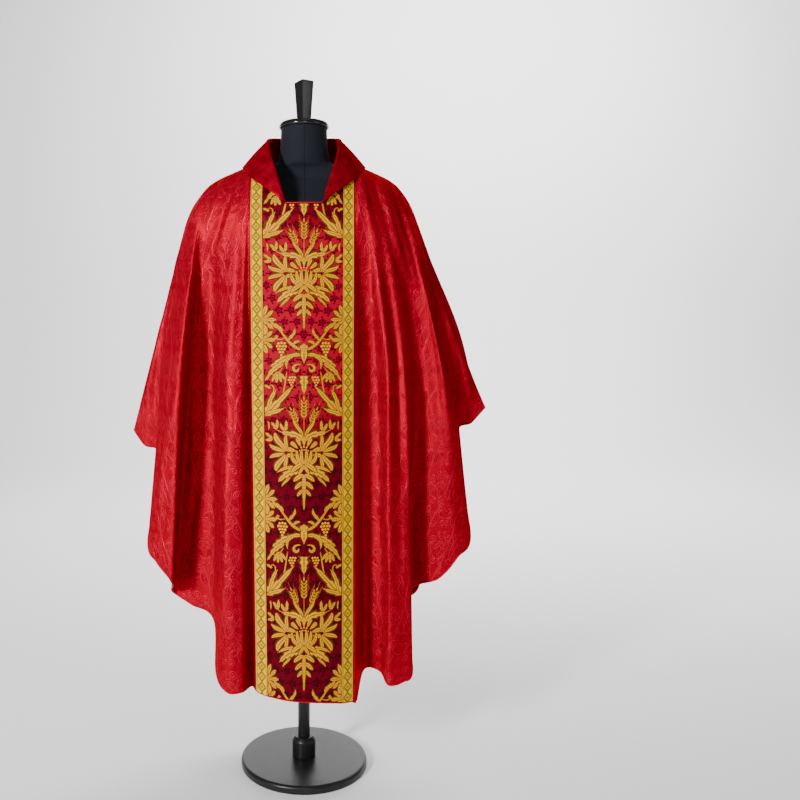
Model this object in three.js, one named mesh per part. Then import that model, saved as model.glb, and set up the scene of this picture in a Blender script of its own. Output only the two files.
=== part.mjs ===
// A gothic chasuble draped on a limbless dress form.
// Millimetres, +Z up, +X to the right of a viewer in front, and the front faces -Y.
// The origin is the centre of the base plate's underside.
import * as THREE from "three";

// Cloth walls and the gap left between pieces that are sewn together.
const PANEL_WALL = 2;
const TRIM_WALL = 1;
const COLLAR_WALL = 2;
const SEAM_GAP = 0.3;
const LAID_GAP = 0.5;
const PIPING_RADIUS = 2;
const HEM_GAP = 0.8;
const MITRE_LIMIT = 2;

// Shoulder seam: from the side of the neck to the point of the shoulder, slightly arched.
const NECK_HALF = 85;
const NECK_HEIGHT = 1415;
const SHOULDER_HALF = 228;
const SHOULDER_HEIGHT = 1353;
const SHOULDER_ARCH = 6;
const SHOULDER_SLOPE = 0.3;

// Neckline: a square opening in front and a round one behind.
const CORNER_HALF = 41;
const CORNER_OUT = 125;
const CORNER_HEIGHT = 1305;
const CENTRE_DIP = 3;
const BACK_NECK_OUT = 72;
const BACK_NECK_RISE = 3;

// Levels at which the folds are set out, and the number of strips above and below the chest.
const CHEST_HEIGHT = 1250;
const WAIST_HEIGHT = 900;
const SHOULDER_STRIPS = 5;
const BODY_STRIPS = 11;

// Half of the orphrey's width, and the inner edge of the galloon along it, at the top edge.
const BAND_EDGE = 115;
const GALLOON_INNER = 91;

// Folds, from the viewer's left to the viewer's right of the side that faces them.
// Each row is one line from the top edge to the hem: "across" is measured to the viewer's right
// and "out" towards the viewer. "steps" is the number of strips up to the next row.
const FOLD_COLUMNS = [
  "top", "chestAcross", "chestOut", "waistAcross", "waistOut",
  "hemAcross", "hemOut", "hemHeight", "steps",
];
const FRONT_FOLDS = {
  side_left:        [-228, -283, 0, -371, 0, -400, 0, 785, 1],
  side_roll_left:   [-225, -280, 14, -360, 18, -372, 16, 752, 1],
  valley_0_left:    [-220, -275, 27, -338, 30, -333, 22, 722, 2],
  lobe_b_left:      [-212, -266, 46, -322, 66, -359, 52, 540, 1],
  lobe_b_mid_left:  [-206, -258, 60, -303, 98, -332, 85, 495, 1],
  crest_1_left:     [-199, -247, 72, -275, 122, -294, 113, 461, 2],
  valley_1_out:     [-188, -234, 73, -268, 48, -304, 30, 414, 1],
  valley_1_mid:     [-180, -221, 78, -250, 38, -261, 40, 388, 1],
  valley_1_in:      [-171, -205, 86, -226, 50, -207, 62, 360, 1],
  lobe_c_left:      [-159, -180, 99, -211, 86, -197, 110, 258, 2],
  ridge_2_left:     [-142, -149, 112, -163, 143, -164, 150, 232, 1],
  ridge_2_inner:    [-131, -132, 117, -139, 146, -136, 149, 231, 1],
  valley_2_left:    [-123, -125, 117, -123, 118, -117, 106, 227, 1],
  band_left:        [-115, -119, 118.5, -113, 138, -103, 142, 229, 2],
  galloon_left:     [-91, -93, 124, -88, 149, -79, 158, 226, 1],
  neck_left:        [-85, -84, 125.5, -80, 151.5, -72, 160, 225, 6],
  corner_left:      [-41, -43, 129, -41, 163, -38, 170, 222, 1],
  centre:           [0, 0, 131, 0, 168, 0, 174, 220, 1],
  corner_right:     [41, 41, 129, 40, 163, 39, 170, 217, 6],
  neck_right:       [85, 81, 126, 77, 152, 75, 160, 212, 1],
  galloon_right:    [91, 87, 124.5, 84, 149.5, 82, 158, 211, 2],
  band_right:       [115, 110.5, 119, 108, 138, 106.5, 143, 208, 1],
  margin_right:     [121, 115, 118, 115, 132, 116, 137, 208, 1],
  valley_2_right:   [128, 123, 117, 132, 104, 136, 84, 255, 1],
  lobe_c_inner:     [139, 137, 114, 156, 110, 160, 118, 258, 1],
  ridge_2_right:    [151, 152, 111, 186, 137, 190, 141, 239, 1],
  saddle_right:     [168, 172, 104, 209, 111, 220, 124, 246, 1],
  minor_ridge:      [181, 190, 97, 230, 117, 244, 104, 268, 2],
  valley_1_right:   [197, 217, 80, 265, 68, 258, 46, 408, 1],
  lobe_b_inner:     [205, 233, 68, 292, 82, 306, 70, 455, 1],
  ridge_1_right:    [213, 246, 57, 317, 88, 350, 66, 503, 1],
  lobe_b_right:     [219, 257, 40, 337, 60, 384, 42, 552, 2],
  valley_0_right:   [223, 265, 24, 364, 28, 352, 22, 768, 1],
  side_roll_right:  [226, 271, 12, 388, 14, 392, 12, 804, 1],
  side_right:       [228, 274, 0, 400, 0, 426, 0, 838, 1],
};
const BACK_FOLDS = {
  side_left:        [-228, -274, 0, -400, 0, -426, 0, 838, 1],
  side_roll_left:   [-225, -270, 16, -384, 24, -392, 22, 800, 1],
  outer_ridge_left: [-219, -262, 38, -350, 58, -351, 56, 700, 1],
  outer_inner:      [-212, -252, 54, -322, 70, -327, 64, 612, 1],
  valley_0_left:    [-204, -240, 66, -292, 44, -272, 30, 535, 2],
  lobe_b_left:      [-194, -224, 80, -272, 92, -280, 78, 395, 1],
  ridge_b_left:     [-182, -200, 92, -240, 126, -240, 118, 345, 2],
  valley_1_left:    [-168, -172, 102, -188, 76, -186, 58, 333, 1],
  lobe_c_left:      [-155, -153, 110, -166, 112, -173, 118, 262, 1],
  ridge_c_left:     [-142, -140, 116, -147, 148, -146, 152, 236, 2],
  valley_2_left:    [-128, -126, 120, -122, 119, -113, 112, 238, 1],
  band_left:        [-115, -111, 123, -108, 141, -99, 146, 238, 2],
  galloon_left:     [-91, -87, 127, -83, 152, -76, 161, 237, 1],
  neck_left:        [-85, -81, 128, -77, 155, -70, 163, 237, 3],
  centre:           [0, 0, 134, 2, 170, 12, 178, 236, 3],
  neck_right:       [85, 84, 128, 83, 155, 91, 163, 237, 1],
  galloon_right:    [91, 90, 127, 89, 152, 98, 161, 237, 2],
  band_right:       [115, 115, 123, 115, 141, 124, 146, 238, 1],
  valley_2_right:   [128, 130, 119, 134, 116, 140, 104, 284, 2],
  ridge_c_right:    [146, 156, 113, 174, 145, 180, 142, 268, 1],
  lobe_c_right:     [160, 174, 105, 200, 120, 213, 106, 300, 1],
  valley_1_right:   [174, 190, 96, 222, 72, 222, 50, 362, 2],
  ridge_b_right:    [190, 214, 88, 259, 118, 276, 102, 402, 1],
  lobe_b_right:     [205, 238, 72, 293, 86, 322, 64, 478, 1],
  valley_0_right:   [214, 255, 52, 314, 46, 306, 34, 586, 1],
  outer_ridge_right: [222, 270, 32, 344, 46, 343, 44, 696, 1],
  side_roll_right:  [226, 279, 13, 362, 18, 376, 16, 750, 1],
  side_right:       [228, 283, 0, 371, 0, 400, 0, 785, 1],
};

// Collar: half of a stand that turns over, from the front corner round to the centre back.
// The foot is sewn to the neckline, the roll is the fold at the top and the edge hangs free.
const COLLAR_COLUMNS = ["footX", "footY", "footZ", "rollX", "rollY", "rollZ", "edgeX", "edgeY", "edgeZ"];
const COLLAR_HALF = {
  corner:      [41, -129, 1308, 42, -131, 1313, 46, -133, 1309],
  lower_front: [53, -112, 1342, 53, -114, 1354, 78, -118, 1336],
  upper_front: [69, -84, 1379, 67, -84, 1402, 111, -95, 1363],
  front_side:  [79, -54, 1402, 76, -52, 1438, 128, -69, 1381],
  side_front:  [84, -27, 1414, 79, -25, 1459, 140, -32, 1396],
  side:        [85, 4, 1418, 77, 4, 1468, 145, 4, 1401],
  side_back:   [76, 32, 1420, 69, 30, 1473, 128, 56, 1392],
  back_side:   [56, 54, 1421, 51, 50, 1476, 92, 98, 1367],
  back:        [30, 69, 1422, 27, 62, 1478, 48, 122, 1335],
  centre_back: [0, 74, 1422, 0, 66, 1479, 0, 136, 1301],
};
const COLLAR_STRIPS = 24;
const STAND_STRIPS = 2;
const ROLL_STRIPS = 2;
const FALL_STRIPS = 3;
const ROLL_RADIUS = 5;

// Dress form: one row for each section of the torso and neck, an ellipse in plan.
const TORSO_COLUMNS = ["height", "halfWidth", "halfDepth"];
const TORSO_SECTIONS = {
  underside:      [720, 158, 94],
  hip:            [745, 166, 101],
  high_hip:       [850, 160, 100],
  waist:          [960, 146, 94],
  ribs:           [1080, 154, 98],
  chest:          [1180, 176, 106],
  upper_chest:    [1250, 188, 107],
  armhole:        [1300, 191, 95],
  shoulder_low:   [1335, 190, 66],
  shoulder_round: [1358, 188, 50],
  shoulder_outer: [1373.5, 185, 38],
  shoulder_mid:   [1389.7, 150, 40],
  shoulder_inner: [1397, 120, 43],
  neck_base:      [1401, 88, 48],
  neck_flare:     [1409, 66, 54],
  neck_low:       [1432, 58, 57],
  neck_mid:       [1458, 55, 55],
  neck_top:       [1489, 54, 54],
};
const TORSO_SIDES = 28;

// Neck cap and handle above it.
const CAP_RADIUS = 57.5;
const CAP_THICKNESS = 14;
const CAP_EDGE = 4;
const HANDLE_BOTTOM = 30;
const HANDLE_TOP = 47;
const HANDLE_HEIGHT = 100;
const HANDLE_BEVEL = 7;
const HANDLE_TURN = Math.PI / 7;

// Stand: a round base plate, a hub on it and a pole up to the torso.
const BASE_RADIUS = 147;
const BASE_THICKNESS = 18;
const BASE_EDGE = 7;
const HUB_RADIUS = 27;
const HUB_HEIGHT = 46;
const POLE_RADIUS = 14;
const ROUND_SIDES = 40;
const POLE_SIDES = 24;

// Colours and surfaces.
const FINISH = {
  damask: { color: "#bb1226", roughness: 0.5, metalness: 0 },
  brocade: { color: "#8c1220", roughness: 0.6, metalness: 0 },
  galloon: { color: "#d9a321", roughness: 0.45, metalness: 0.3 },
  collar: { color: "#b81428", roughness: 0.6, metalness: 0 },
  piping: { color: "#cf2434", roughness: 0.4, metalness: 0 },
  jersey: { color: "#101013", roughness: 0.9, metalness: 0 },
  gloss: { color: "#0b0b0c", roughness: 0.2, metalness: 0 },
  stand: { color: "#151517", roughness: 0.4, metalness: 0 },
};

// A table's rows as objects with its named columns.
function rowsOf(table, columns) {
  return Object.values(table).map((values) =>
    Object.fromEntries(columns.map((column, i) => [column, values[i]])),
  );
}

// A Catmull-Rom value between b and c, where a and d are the values beside them.
function blend(a, b, c, d, t) {
  const forward = (c - a) / 2;
  const backward = (d - b) / 2;
  return THREE.MathUtils.lerp(b, c, t * t * (3 - 2 * t)) +
    t * (1 - t) * (1 - t) * forward - t * t * (1 - t) * backward;
}

// Rows with smooth ones added between them, "steps" to each span. The top edge stays straight.
function refined(rows) {
  const fine = [];
  for (let i = 0; i + 1 < rows.length; i += 1) {
    const spans = [rows[Math.max(i - 1, 0)], rows[i], rows[i + 1], rows[Math.min(i + 2, rows.length - 1)]];
    for (let step = 0; step < rows[i].steps; step += 1) {
      const t = step / rows[i].steps;
      const row = {};
      for (const key of Object.keys(rows[i])) row[key] = blend(...spans.map((span) => span[key]), t);
      row.top = THREE.MathUtils.lerp(rows[i].top, rows[i + 1].top, t);
      fine.push(row);
    }
  }
  fine.push(rows[rows.length - 1]);
  return fine;
}

function seamHeight(across) {
  const share = (Math.abs(across) - NECK_HALF) / (SHOULDER_HALF - NECK_HALF);
  const straight = THREE.MathUtils.lerp(NECK_HEIGHT, SHOULDER_HEIGHT, share);
  return straight + 4 * SHOULDER_ARCH * share * (1 - share);
}

// The point of a panel's top edge. Past the neck it is on the shoulder seam.
function frontTop(across) {
  const half = Math.abs(across);
  if (half >= NECK_HALF) return new THREE.Vector3(across, SEAM_GAP / 2, seamHeight(across));
  if (half <= CORNER_HALF) {
    const dip = CENTRE_DIP * (1 - (half / CORNER_HALF) ** 2);
    return new THREE.Vector3(across, CORNER_OUT + dip, CORNER_HEIGHT);
  }
  // Between the seam and the corner the edge follows the round of the shoulder and chest.
  const turn = (Math.PI / 2) * ((NECK_HALF - half) / (NECK_HALF - CORNER_HALF));
  const height = CORNER_HEIGHT + (NECK_HEIGHT - CORNER_HEIGHT) * Math.cos(turn);
  const roundAt = (level) => Math.sqrt(1 - ((level - CHEST_HEIGHT) / (NECK_HEIGHT - CHEST_HEIGHT)) ** 2);
  const reach = THREE.MathUtils.lerp(CORNER_OUT / roundAt(CORNER_HEIGHT), CORNER_OUT, Math.cos(turn));
  const x = CORNER_HALF + (NECK_HALF - CORNER_HALF) * Math.cos(turn);
  return new THREE.Vector3(Math.sign(across) * x, SEAM_GAP / 2 + reach * roundAt(height), height);
}

function backTop(across) {
  const half = Math.abs(across);
  if (half >= NECK_HALF) return new THREE.Vector3(across, SEAM_GAP / 2, seamHeight(across));
  const inside = 1 - (half / NECK_HALF) ** 2.5;
  const out = SEAM_GAP / 2 + BACK_NECK_OUT * inside;
  return new THREE.Vector3(across, out, NECK_HEIGHT + BACK_NECK_RISE * inside);
}

// One line of a panel from its top edge over the shoulder to the chest, waist and hem.
function foldLine(row, top) {
  const chest = new THREE.Vector3(row.chestAcross, Math.max(row.chestOut, SEAM_GAP / 2), CHEST_HEIGHT);
  const waist = new THREE.Vector3(row.waistAcross, Math.max(row.waistOut, SEAM_GAP / 2), WAIST_HEIGHT);
  const hem = new THREE.Vector3(row.hemAcross, Math.max(row.hemOut, SEAM_GAP / 2), row.hemHeight);
  const point = top(row.top);

  // Slopes for each millimetre down, with no overshoot at the waist.
  const upper = waist.clone().sub(chest).divideScalar(CHEST_HEIGHT - WAIST_HEIGHT);
  const lower = hem.clone().sub(waist).divideScalar(WAIST_HEIGHT - row.hemHeight);
  const monotone = (a, b) => (a * b > 0 ? (2 * a * b) / (a + b) : 0);
  const middle = new THREE.Vector3(monotone(upper.x, lower.x), monotone(upper.y, lower.y), -1);

  // Over the shoulder the line is the part of a quarter ellipse from its angle "turned" on.
  const turned = row.chestOut > point.y ? Math.asin(point.y / row.chestOut) : 0;
  const rise = (point.z - CHEST_HEIGHT) / Math.cos(turned);
  const roundness = (4 / 3) * Math.tan((Math.PI / 2 - turned) / 4);
  const sideways = roundness * (chest.x - point.x);
  const leave = new THREE.Vector3(
    sideways,
    roundness * chest.y * Math.cos(turned),
    -roundness * rise * Math.sin(turned) - SHOULDER_SLOPE * Math.abs(sideways),
  );
  const over = new THREE.CubicBezierCurve3(
    point, point.clone().add(leave), chest.clone().addScaledVector(upper, -roundness * rise), chest,
  );
  const line = [];
  for (let i = 0; i < SHOULDER_STRIPS; i += 1) line.push(over.getPoint(i / SHOULDER_STRIPS));
  const hermite = (from, to, slopeFrom, slopeTo, t) => {
    const length = from.z - to.z;
    const span = [from, slopeFrom, to, slopeTo].map((v) => v.clone());
    return span[0].multiplyScalar(1 - t * t * (3 - 2 * t))
      .addScaledVector(span[2], t * t * (3 - 2 * t))
      .addScaledVector(span[1], length * t * (1 - t) * (1 - t))
      .addScaledVector(span[3], -length * t * t * (1 - t));
  };
  for (let i = 0; i <= BODY_STRIPS; i += 1) {
    const z = THREE.MathUtils.lerp(CHEST_HEIGHT, row.hemHeight, i / BODY_STRIPS);
    const at = z >= WAIST_HEIGHT
      ? hermite(chest, waist, upper, middle, (CHEST_HEIGHT - z) / (CHEST_HEIGHT - WAIST_HEIGHT))
      : hermite(waist, hem, middle, lower, (WAIST_HEIGHT - z) / (WAIST_HEIGHT - row.hemHeight));
    line.push(at.setZ(z));
  }
  return line;
}

// The two triangles of each cell of a grid of points, grid[column][row]: each triangle holds
// three [column, row] places, and a cell is cut along its shorter diagonal.
function gridCells(grid) {
  return grid.slice(0, -1).map((line, i) => line.slice(0, -1).map((point, j) => {
    const next = grid[i + 1];
    const corners = [[i, j], [i, j + 1], [i + 1, j + 1], [i + 1, j]];
    const falling = point.distanceTo(next[j + 1]) <= line[j + 1].distanceTo(next[j]);
    const [a, b, c, d] = falling ? corners : [...corners.slice(1), corners[0]];
    return [[a, b, c], [a, c, d]];
  }));
}

// Unit normals of a grid, pointing out of the face that shows: the mean of the faces around.
function gridNormals(grid, cells) {
  const normals = grid.map((line) => line.map(() => new THREE.Vector3()));
  const face = new THREE.Triangle();
  const normal = new THREE.Vector3();
  for (const corners of cells.flat(2)) {
    face.set(...corners.map(([column, row]) => grid[column][row]));
    face.getNormal(normal).multiplyScalar(face.getArea());
    for (const [column, row] of corners) normals[column][row].add(normal);
  }
  return normals.map((line) => line.map((sum) => sum.normalize()));
}

// A grid moved along its normals.
function moved(grid, normals, distance) {
  return grid.map((line, i) => line.map((point, j) => point.clone().addScaledVector(normals[i][j], distance)));
}

// A closed wall between two grids of the same size: both faces, cut as "cells" says, and the
// four edges. The cells' columns may be those of a wider grid, from "firstColumn" on.
function wall(outer, inner, cells, firstColumn = 0) {
  const columns = outer.length;
  const rows = outer[0].length;
  const positions = [...outer.flat(), ...inner.flat()].flatMap((point) => point.toArray());
  const out = (i, j) => i * rows + j;
  const back = (i, j) => columns * rows + i * rows + j;
  const index = [];
  const quad = (a, b, c, d) => index.push(a, b, c, a, c, d);
  for (const corners of cells.slice(firstColumn, firstColumn + columns - 1).flat(2)) {
    const places = corners.map(([column, row]) => [column - firstColumn, row]);
    index.push(...places.map((place) => out(...place)));
    index.push(...places.reverse().map((place) => back(...place)));
  }
  for (let i = 0; i + 1 < columns; i += 1) {
    quad(out(i, 0), out(i + 1, 0), back(i + 1, 0), back(i, 0));
    quad(out(i, rows - 1), back(i, rows - 1), back(i + 1, rows - 1), out(i + 1, rows - 1));
  }
  for (let j = 0; j + 1 < rows; j += 1) {
    quad(out(0, j), back(0, j), back(0, j + 1), out(0, j + 1));
    quad(out(columns - 1, j), out(columns - 1, j + 1), back(columns - 1, j + 1), back(columns - 1, j));
  }
  return solid(positions, index);
}

function solid(positions, index) {
  const geometry = new THREE.BufferGeometry();
  geometry.setAttribute("position", new THREE.Float32BufferAttribute(positions, 3));
  geometry.setIndex(index);
  geometry.computeVertexNormals();
  return geometry;
}

// Rings of points joined one after the next and closed flat at both ends.
function ringLoft(rings) {
  const sides = rings[0].length;
  const positions = rings.flat().flatMap((point) => point.toArray());
  const index = [];
  for (let i = 0; i + 1 < rings.length; i += 1) {
    for (let j = 0; j < sides; j += 1) {
      const next = (j + 1) % sides;
      index.push(i * sides + j, i * sides + next, (i + 1) * sides + next);
      index.push(i * sides + j, (i + 1) * sides + next, (i + 1) * sides + j);
    }
  }
  const last = (rings.length - 1) * sides;
  for (let j = 1; j + 1 < sides; j += 1) {
    index.push(0, j + 1, j);
    index.push(last, last + j, last + j + 1);
  }
  return solid(positions, index);
}

// A four-sided cord along an edge of a panel, just clear of the wall's end. The edge runs to
// the panel's right, and "side" is 1 for a lower edge and -1 for an upper one.
function edgeCord(edge, normals, side) {
  const last = edge.length - 1;
  const outwardOf = (from, to, normal) =>
    edge[to].clone().sub(edge[from]).cross(normal).normalize().multiplyScalar(side);
  return ringLoft(edge.map((point, i) => {
    const normal = normals[i];
    const before = outwardOf(Math.max(i - 1, 0), Math.max(i, 1), normal);
    const after = outwardOf(Math.min(i, last - 1), Math.min(i + 1, last), normal);
    const outward = before.clone().add(after).normalize();
    if (i === 0 || i === last) outward.setY(0).normalize();
    const mitre = Math.min(1 / outward.dot(before), MITRE_LIMIT);
    const middle = point.clone().addScaledVector(normal, -PANEL_WALL / 2);
    middle.addScaledVector(outward, PIPING_RADIUS + HEM_GAP * mitre);
    const spokes = [normal, outward].map((direction) => direction.clone().multiplyScalar(PIPING_RADIUS));
    const ring = [1, 1, -1, -1].map((sign, k) => middle.clone().addScaledVector(spokes[k % 2], sign));
    return side > 0 ? ring : ring.reverse();
  }));
}

function meshOf(name, geometry, finish) {
  const mesh = new THREE.Mesh(geometry, new THREE.MeshStandardMaterial(FINISH[finish]));
  mesh.name = name;
  return mesh;
}

// One side of the chasuble: its panel, orphrey, two galloons and hem piping, facing +Y here.
function chasubleSide(name, folds, top) {
  const rows = refined(rowsOf(folds, FOLD_COLUMNS));
  // Facing +Y the viewer's right is -X, so "across" is turned round.
  const grid = rows.map((row) => foldLine(row, top).map((p) => new THREE.Vector3(-p.x, p.y, p.z)));
  const cells = gridCells(grid);
  const normals = gridNormals(grid, cells);
  // At the seams with the other side, the wall's edge faces it squarely.
  const level = (normal) => normal.setY(0).normalize();
  normals.forEach((line, i) => {
    if (Math.abs(rows[i].top) >= NECK_HALF) level(line[0]);
    if (i === 0 || i === normals.length - 1) line.forEach(level);
  });
  const meshes = [meshOf(`${name}_panel`, wall(grid, moved(grid, normals, -PANEL_WALL), cells), "damask")];

  const part = (list, from, to) => list.filter((_, i) => rows[i].top >= from - 0.01 && rows[i].top <= to + 0.01);
  const strip = (from, to, base) => {
    const points = part(grid, from, to);
    const facing = part(normals, from, to);
    const firstColumn = grid.indexOf(points[0]);
    return wall(moved(points, facing, base + TRIM_WALL), moved(points, facing, base), cells, firstColumn);
  };
  const orphreyBase = LAID_GAP;
  const galloonBase = orphreyBase + TRIM_WALL + SEAM_GAP;
  meshes.push(meshOf(`${name}_orphrey`, strip(-BAND_EDGE, BAND_EDGE, orphreyBase), "brocade"));
  meshes.push(meshOf(`${name}_galloon_left`, strip(-BAND_EDGE, -GALLOON_INNER, galloonBase), "galloon"));
  meshes.push(meshOf(`${name}_galloon_right`, strip(GALLOON_INNER, BAND_EDGE, galloonBase), "galloon"));

  const last = grid[0].length - 1;
  const hem = edgeCord(
    grid.map((line) => line[last]),
    normals.map((line) => line[last]),
    1,
  );
  meshes.push(meshOf(`${name}_hem_piping`, hem, "piping"));
  return { meshes, grid: part(grid, -CORNER_HALF, CORNER_HALF), normals: part(normals, -CORNER_HALF, CORNER_HALF) };
}

const chasuble = new THREE.Group();

// The back, built facing +Y, and the front, turned to face -Y.
const back = chasubleSide("back", BACK_FOLDS, backTop);
back.meshes.forEach((mesh) => chasuble.add(mesh));
const front = chasubleSide("front", FRONT_FOLDS, frontTop);
const frontGroup = new THREE.Group();
front.meshes.forEach((mesh) => frontGroup.add(mesh));
frontGroup.rotation.z = Math.PI;
chasuble.add(frontGroup);

// A narrow binding along the level front of the neckline.
const neckBinding = edgeCord(
  front.grid.map((line) => line[0]),
  front.normals.map((line) => line[0]),
  -1,
);
frontGroup.add(meshOf("neck_binding", neckBinding, "piping"));

// Collar: a wall that rises from the neckline, rolls over and falls to its free edge.
function collarGeometry() {
  const half = rowsOf(COLLAR_HALF, COLLAR_COLUMNS);
  const mirrored = half.slice(0, -1).reverse().map((row) => ({
    ...row, footX: -row.footX, rollX: -row.rollX, edgeX: -row.edgeX,
  }));
  const rows = [...half, ...mirrored];
  const curve = (key) => new THREE.CatmullRomCurve3(
    rows.map((row) => new THREE.Vector3(row[`${key}X`], row[`${key}Y`], row[`${key}Z`])),
  );
  const curves = ["foot", "roll", "edge"].map(curve);
  const grid = [];
  for (let i = 0; i <= COLLAR_STRIPS; i += 1) {
    const [foot, roll, edge] = curves.map((line) => line.getPoint(i / COLLAR_STRIPS));
    const outward = edge.clone().sub(foot).setZ(0).normalize();
    const radius = Math.min(ROLL_RADIUS, roll.distanceTo(foot) / 3);
    const crest = roll.clone().addScaledVector(outward, radius);
    const fallTop = crest.clone().addScaledVector(outward, radius).add(new THREE.Vector3(0, 0, -radius));
    const standTop = roll.clone().add(new THREE.Vector3(0, 0, -radius));
    const line = [];
    for (let j = 0; j < STAND_STRIPS; j += 1) line.push(foot.clone().lerp(standTop, j / STAND_STRIPS));
    line.push(standTop);
    line.push(crest);
    for (let j = 0; j <= FALL_STRIPS; j += 1) line.push(fallTop.clone().lerp(edge, j / FALL_STRIPS));
    grid.push(line);
  }
  const cells = gridCells(grid);
  return wall(grid, moved(grid, gridNormals(grid, cells), -COLLAR_WALL), cells);
}
chasuble.add(meshOf("collar", collarGeometry(), "collar"));

// Dress form
function ellipse(height, halfWidth, halfDepth, sides) {
  return Array.from({ length: sides }, (_, i) => {
    const angle = (2 * Math.PI * i) / sides;
    return new THREE.Vector3(halfWidth * Math.cos(angle), halfDepth * Math.sin(angle), height);
  });
}

// A turned piece from a profile of [radius, height] points that starts and ends on the axis.
function turned(profile, sides) {
  const geometry = new THREE.LatheGeometry(profile.map(([r, z]) => new THREE.Vector2(r, z)), sides);
  return geometry.rotateX(Math.PI / 2);
}

const form = new THREE.Group();
const torsoRings = rowsOf(TORSO_SECTIONS, TORSO_COLUMNS).map((row) =>
  ellipse(row.height, row.halfWidth, row.halfDepth, TORSO_SIDES),
);
form.add(meshOf("form_torso", ringLoft(torsoRings), "jersey"));

const capBottom = TORSO_SECTIONS.neck_top[0] + SEAM_GAP;
const capTop = capBottom + CAP_THICKNESS;
form.add(meshOf("form_neck_cap", turned([
  [0, capBottom],
  [CAP_RADIUS - 1, capBottom],
  [CAP_RADIUS, capBottom + 1],
  [CAP_RADIUS, capTop - CAP_EDGE],
  [CAP_RADIUS - CAP_EDGE / 3, capTop - CAP_EDGE / 3],
  [CAP_RADIUS - CAP_EDGE, capTop],
  [0, capTop],
], ROUND_SIDES), "gloss"));

// The handle is a square block with cut corners that widens upwards.
function handleRing(height, width) {
  const half = width / 2;
  const cut = half - HANDLE_BEVEL * (width / HANDLE_TOP);
  const corners = [[half, -cut], [half, cut], [cut, half], [-cut, half], [-half, cut], [-half, -cut], [-cut, -half], [cut, -half]];
  return corners.map(([x, y]) => new THREE.Vector3(x, y, height));
}
const handle = meshOf("form_handle", ringLoft([
  handleRing(0, HANDLE_BOTTOM),
  handleRing(HANDLE_HEIGHT * 0.92, HANDLE_TOP),
  handleRing(HANDLE_HEIGHT, HANDLE_TOP - HANDLE_BEVEL),
]), "gloss");
handle.position.z = capTop + SEAM_GAP;
handle.rotation.z = HANDLE_TURN;
form.add(handle);

form.add(meshOf("stand_base", turned([
  [0, 0],
  [BASE_RADIUS - 2, 0],
  [BASE_RADIUS, 2],
  [BASE_RADIUS, BASE_THICKNESS - BASE_EDGE],
  [BASE_RADIUS - BASE_EDGE * 0.3, BASE_THICKNESS - BASE_EDGE * 0.3],
  [BASE_RADIUS - BASE_EDGE, BASE_THICKNESS],
  [0, BASE_THICKNESS],
], ROUND_SIDES), "stand"));

const hubBottom = BASE_THICKNESS + SEAM_GAP;
const hubTop = hubBottom + HUB_HEIGHT;
form.add(meshOf("stand_hub", turned([
  [0, hubBottom],
  [HUB_RADIUS, hubBottom],
  [HUB_RADIUS, hubTop - 8],
  [HUB_RADIUS - 6, hubTop],
  [0, hubTop],
], POLE_SIDES), "stand"));

const poleBottom = hubTop + SEAM_GAP;
const poleTop = TORSO_SECTIONS.underside[0] - SEAM_GAP;
form.add(meshOf("stand_pole", turned([
  [0, poleBottom],
  [POLE_RADIUS, poleBottom],
  [POLE_RADIUS, poleTop],
  [0, poleTop],
], POLE_SIDES), "stand"));

const group = new THREE.Group();
group.add(chasuble, form);
export default group;
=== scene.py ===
import math
from functools import partialmethod

import bpy
import numpy as np
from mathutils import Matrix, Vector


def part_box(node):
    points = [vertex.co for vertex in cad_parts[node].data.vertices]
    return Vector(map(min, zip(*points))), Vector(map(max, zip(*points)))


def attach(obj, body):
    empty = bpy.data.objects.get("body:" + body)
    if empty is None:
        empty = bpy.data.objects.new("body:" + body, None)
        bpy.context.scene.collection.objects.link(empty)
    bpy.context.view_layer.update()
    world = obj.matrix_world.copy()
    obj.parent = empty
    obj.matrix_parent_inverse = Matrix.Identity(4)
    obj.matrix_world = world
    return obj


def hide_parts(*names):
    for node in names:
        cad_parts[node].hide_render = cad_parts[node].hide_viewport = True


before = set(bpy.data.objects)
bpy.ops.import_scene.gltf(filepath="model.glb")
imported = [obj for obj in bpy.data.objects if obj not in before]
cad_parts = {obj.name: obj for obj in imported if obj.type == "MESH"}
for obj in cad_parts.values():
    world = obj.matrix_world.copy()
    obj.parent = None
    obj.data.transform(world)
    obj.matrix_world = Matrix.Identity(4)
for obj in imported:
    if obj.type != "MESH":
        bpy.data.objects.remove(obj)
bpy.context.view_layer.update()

MM = 0.001


# Floor and room
# A seamless pale grey sheet that rises behind the stand, and six soft studio lamps: the key on
# the left, weak ones in front, on the right and above, one behind and one on the sheet.

FLOOR_NEAR = -4.0
FLOOR_FAR = 3.2
FLOOR_HALF = 5.0
SWEEP_RADIUS = 1.2
SWEEP_TOP = 5.0
SHARP_ANGLE = 55


class Level:
    """A number that varies over a surface. Operators on it add the Math nodes."""

    def __init__(self, finish, socket):
        self.finish = finish
        self.socket = socket

    def math(self, operation, *others, clamp=False):
        settings = {"operation": operation, "use_clamp": clamp}
        node = self.finish.node("ShaderNodeMath", settings, dict(enumerate([self, *others])))
        return Level(self.finish, node.outputs[0])

    def __rsub__(self, other):
        return self * -1 + other

    def clipped(self):
        """The number kept between 0 and 1."""
        return self.math("MULTIPLY", 1, clamp=True)

    def part(self, period):
        """What is left over past whole periods, centred: from minus half a period to half."""
        return self.math("FLOORED_MODULO", period) - period / 2

    def below(self, limit, soft):
        """1 well below the limit and 0 above it, fading over the width "soft"."""
        return ((limit - self) * (1 / soft) + 0.5).clipped()


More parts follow.
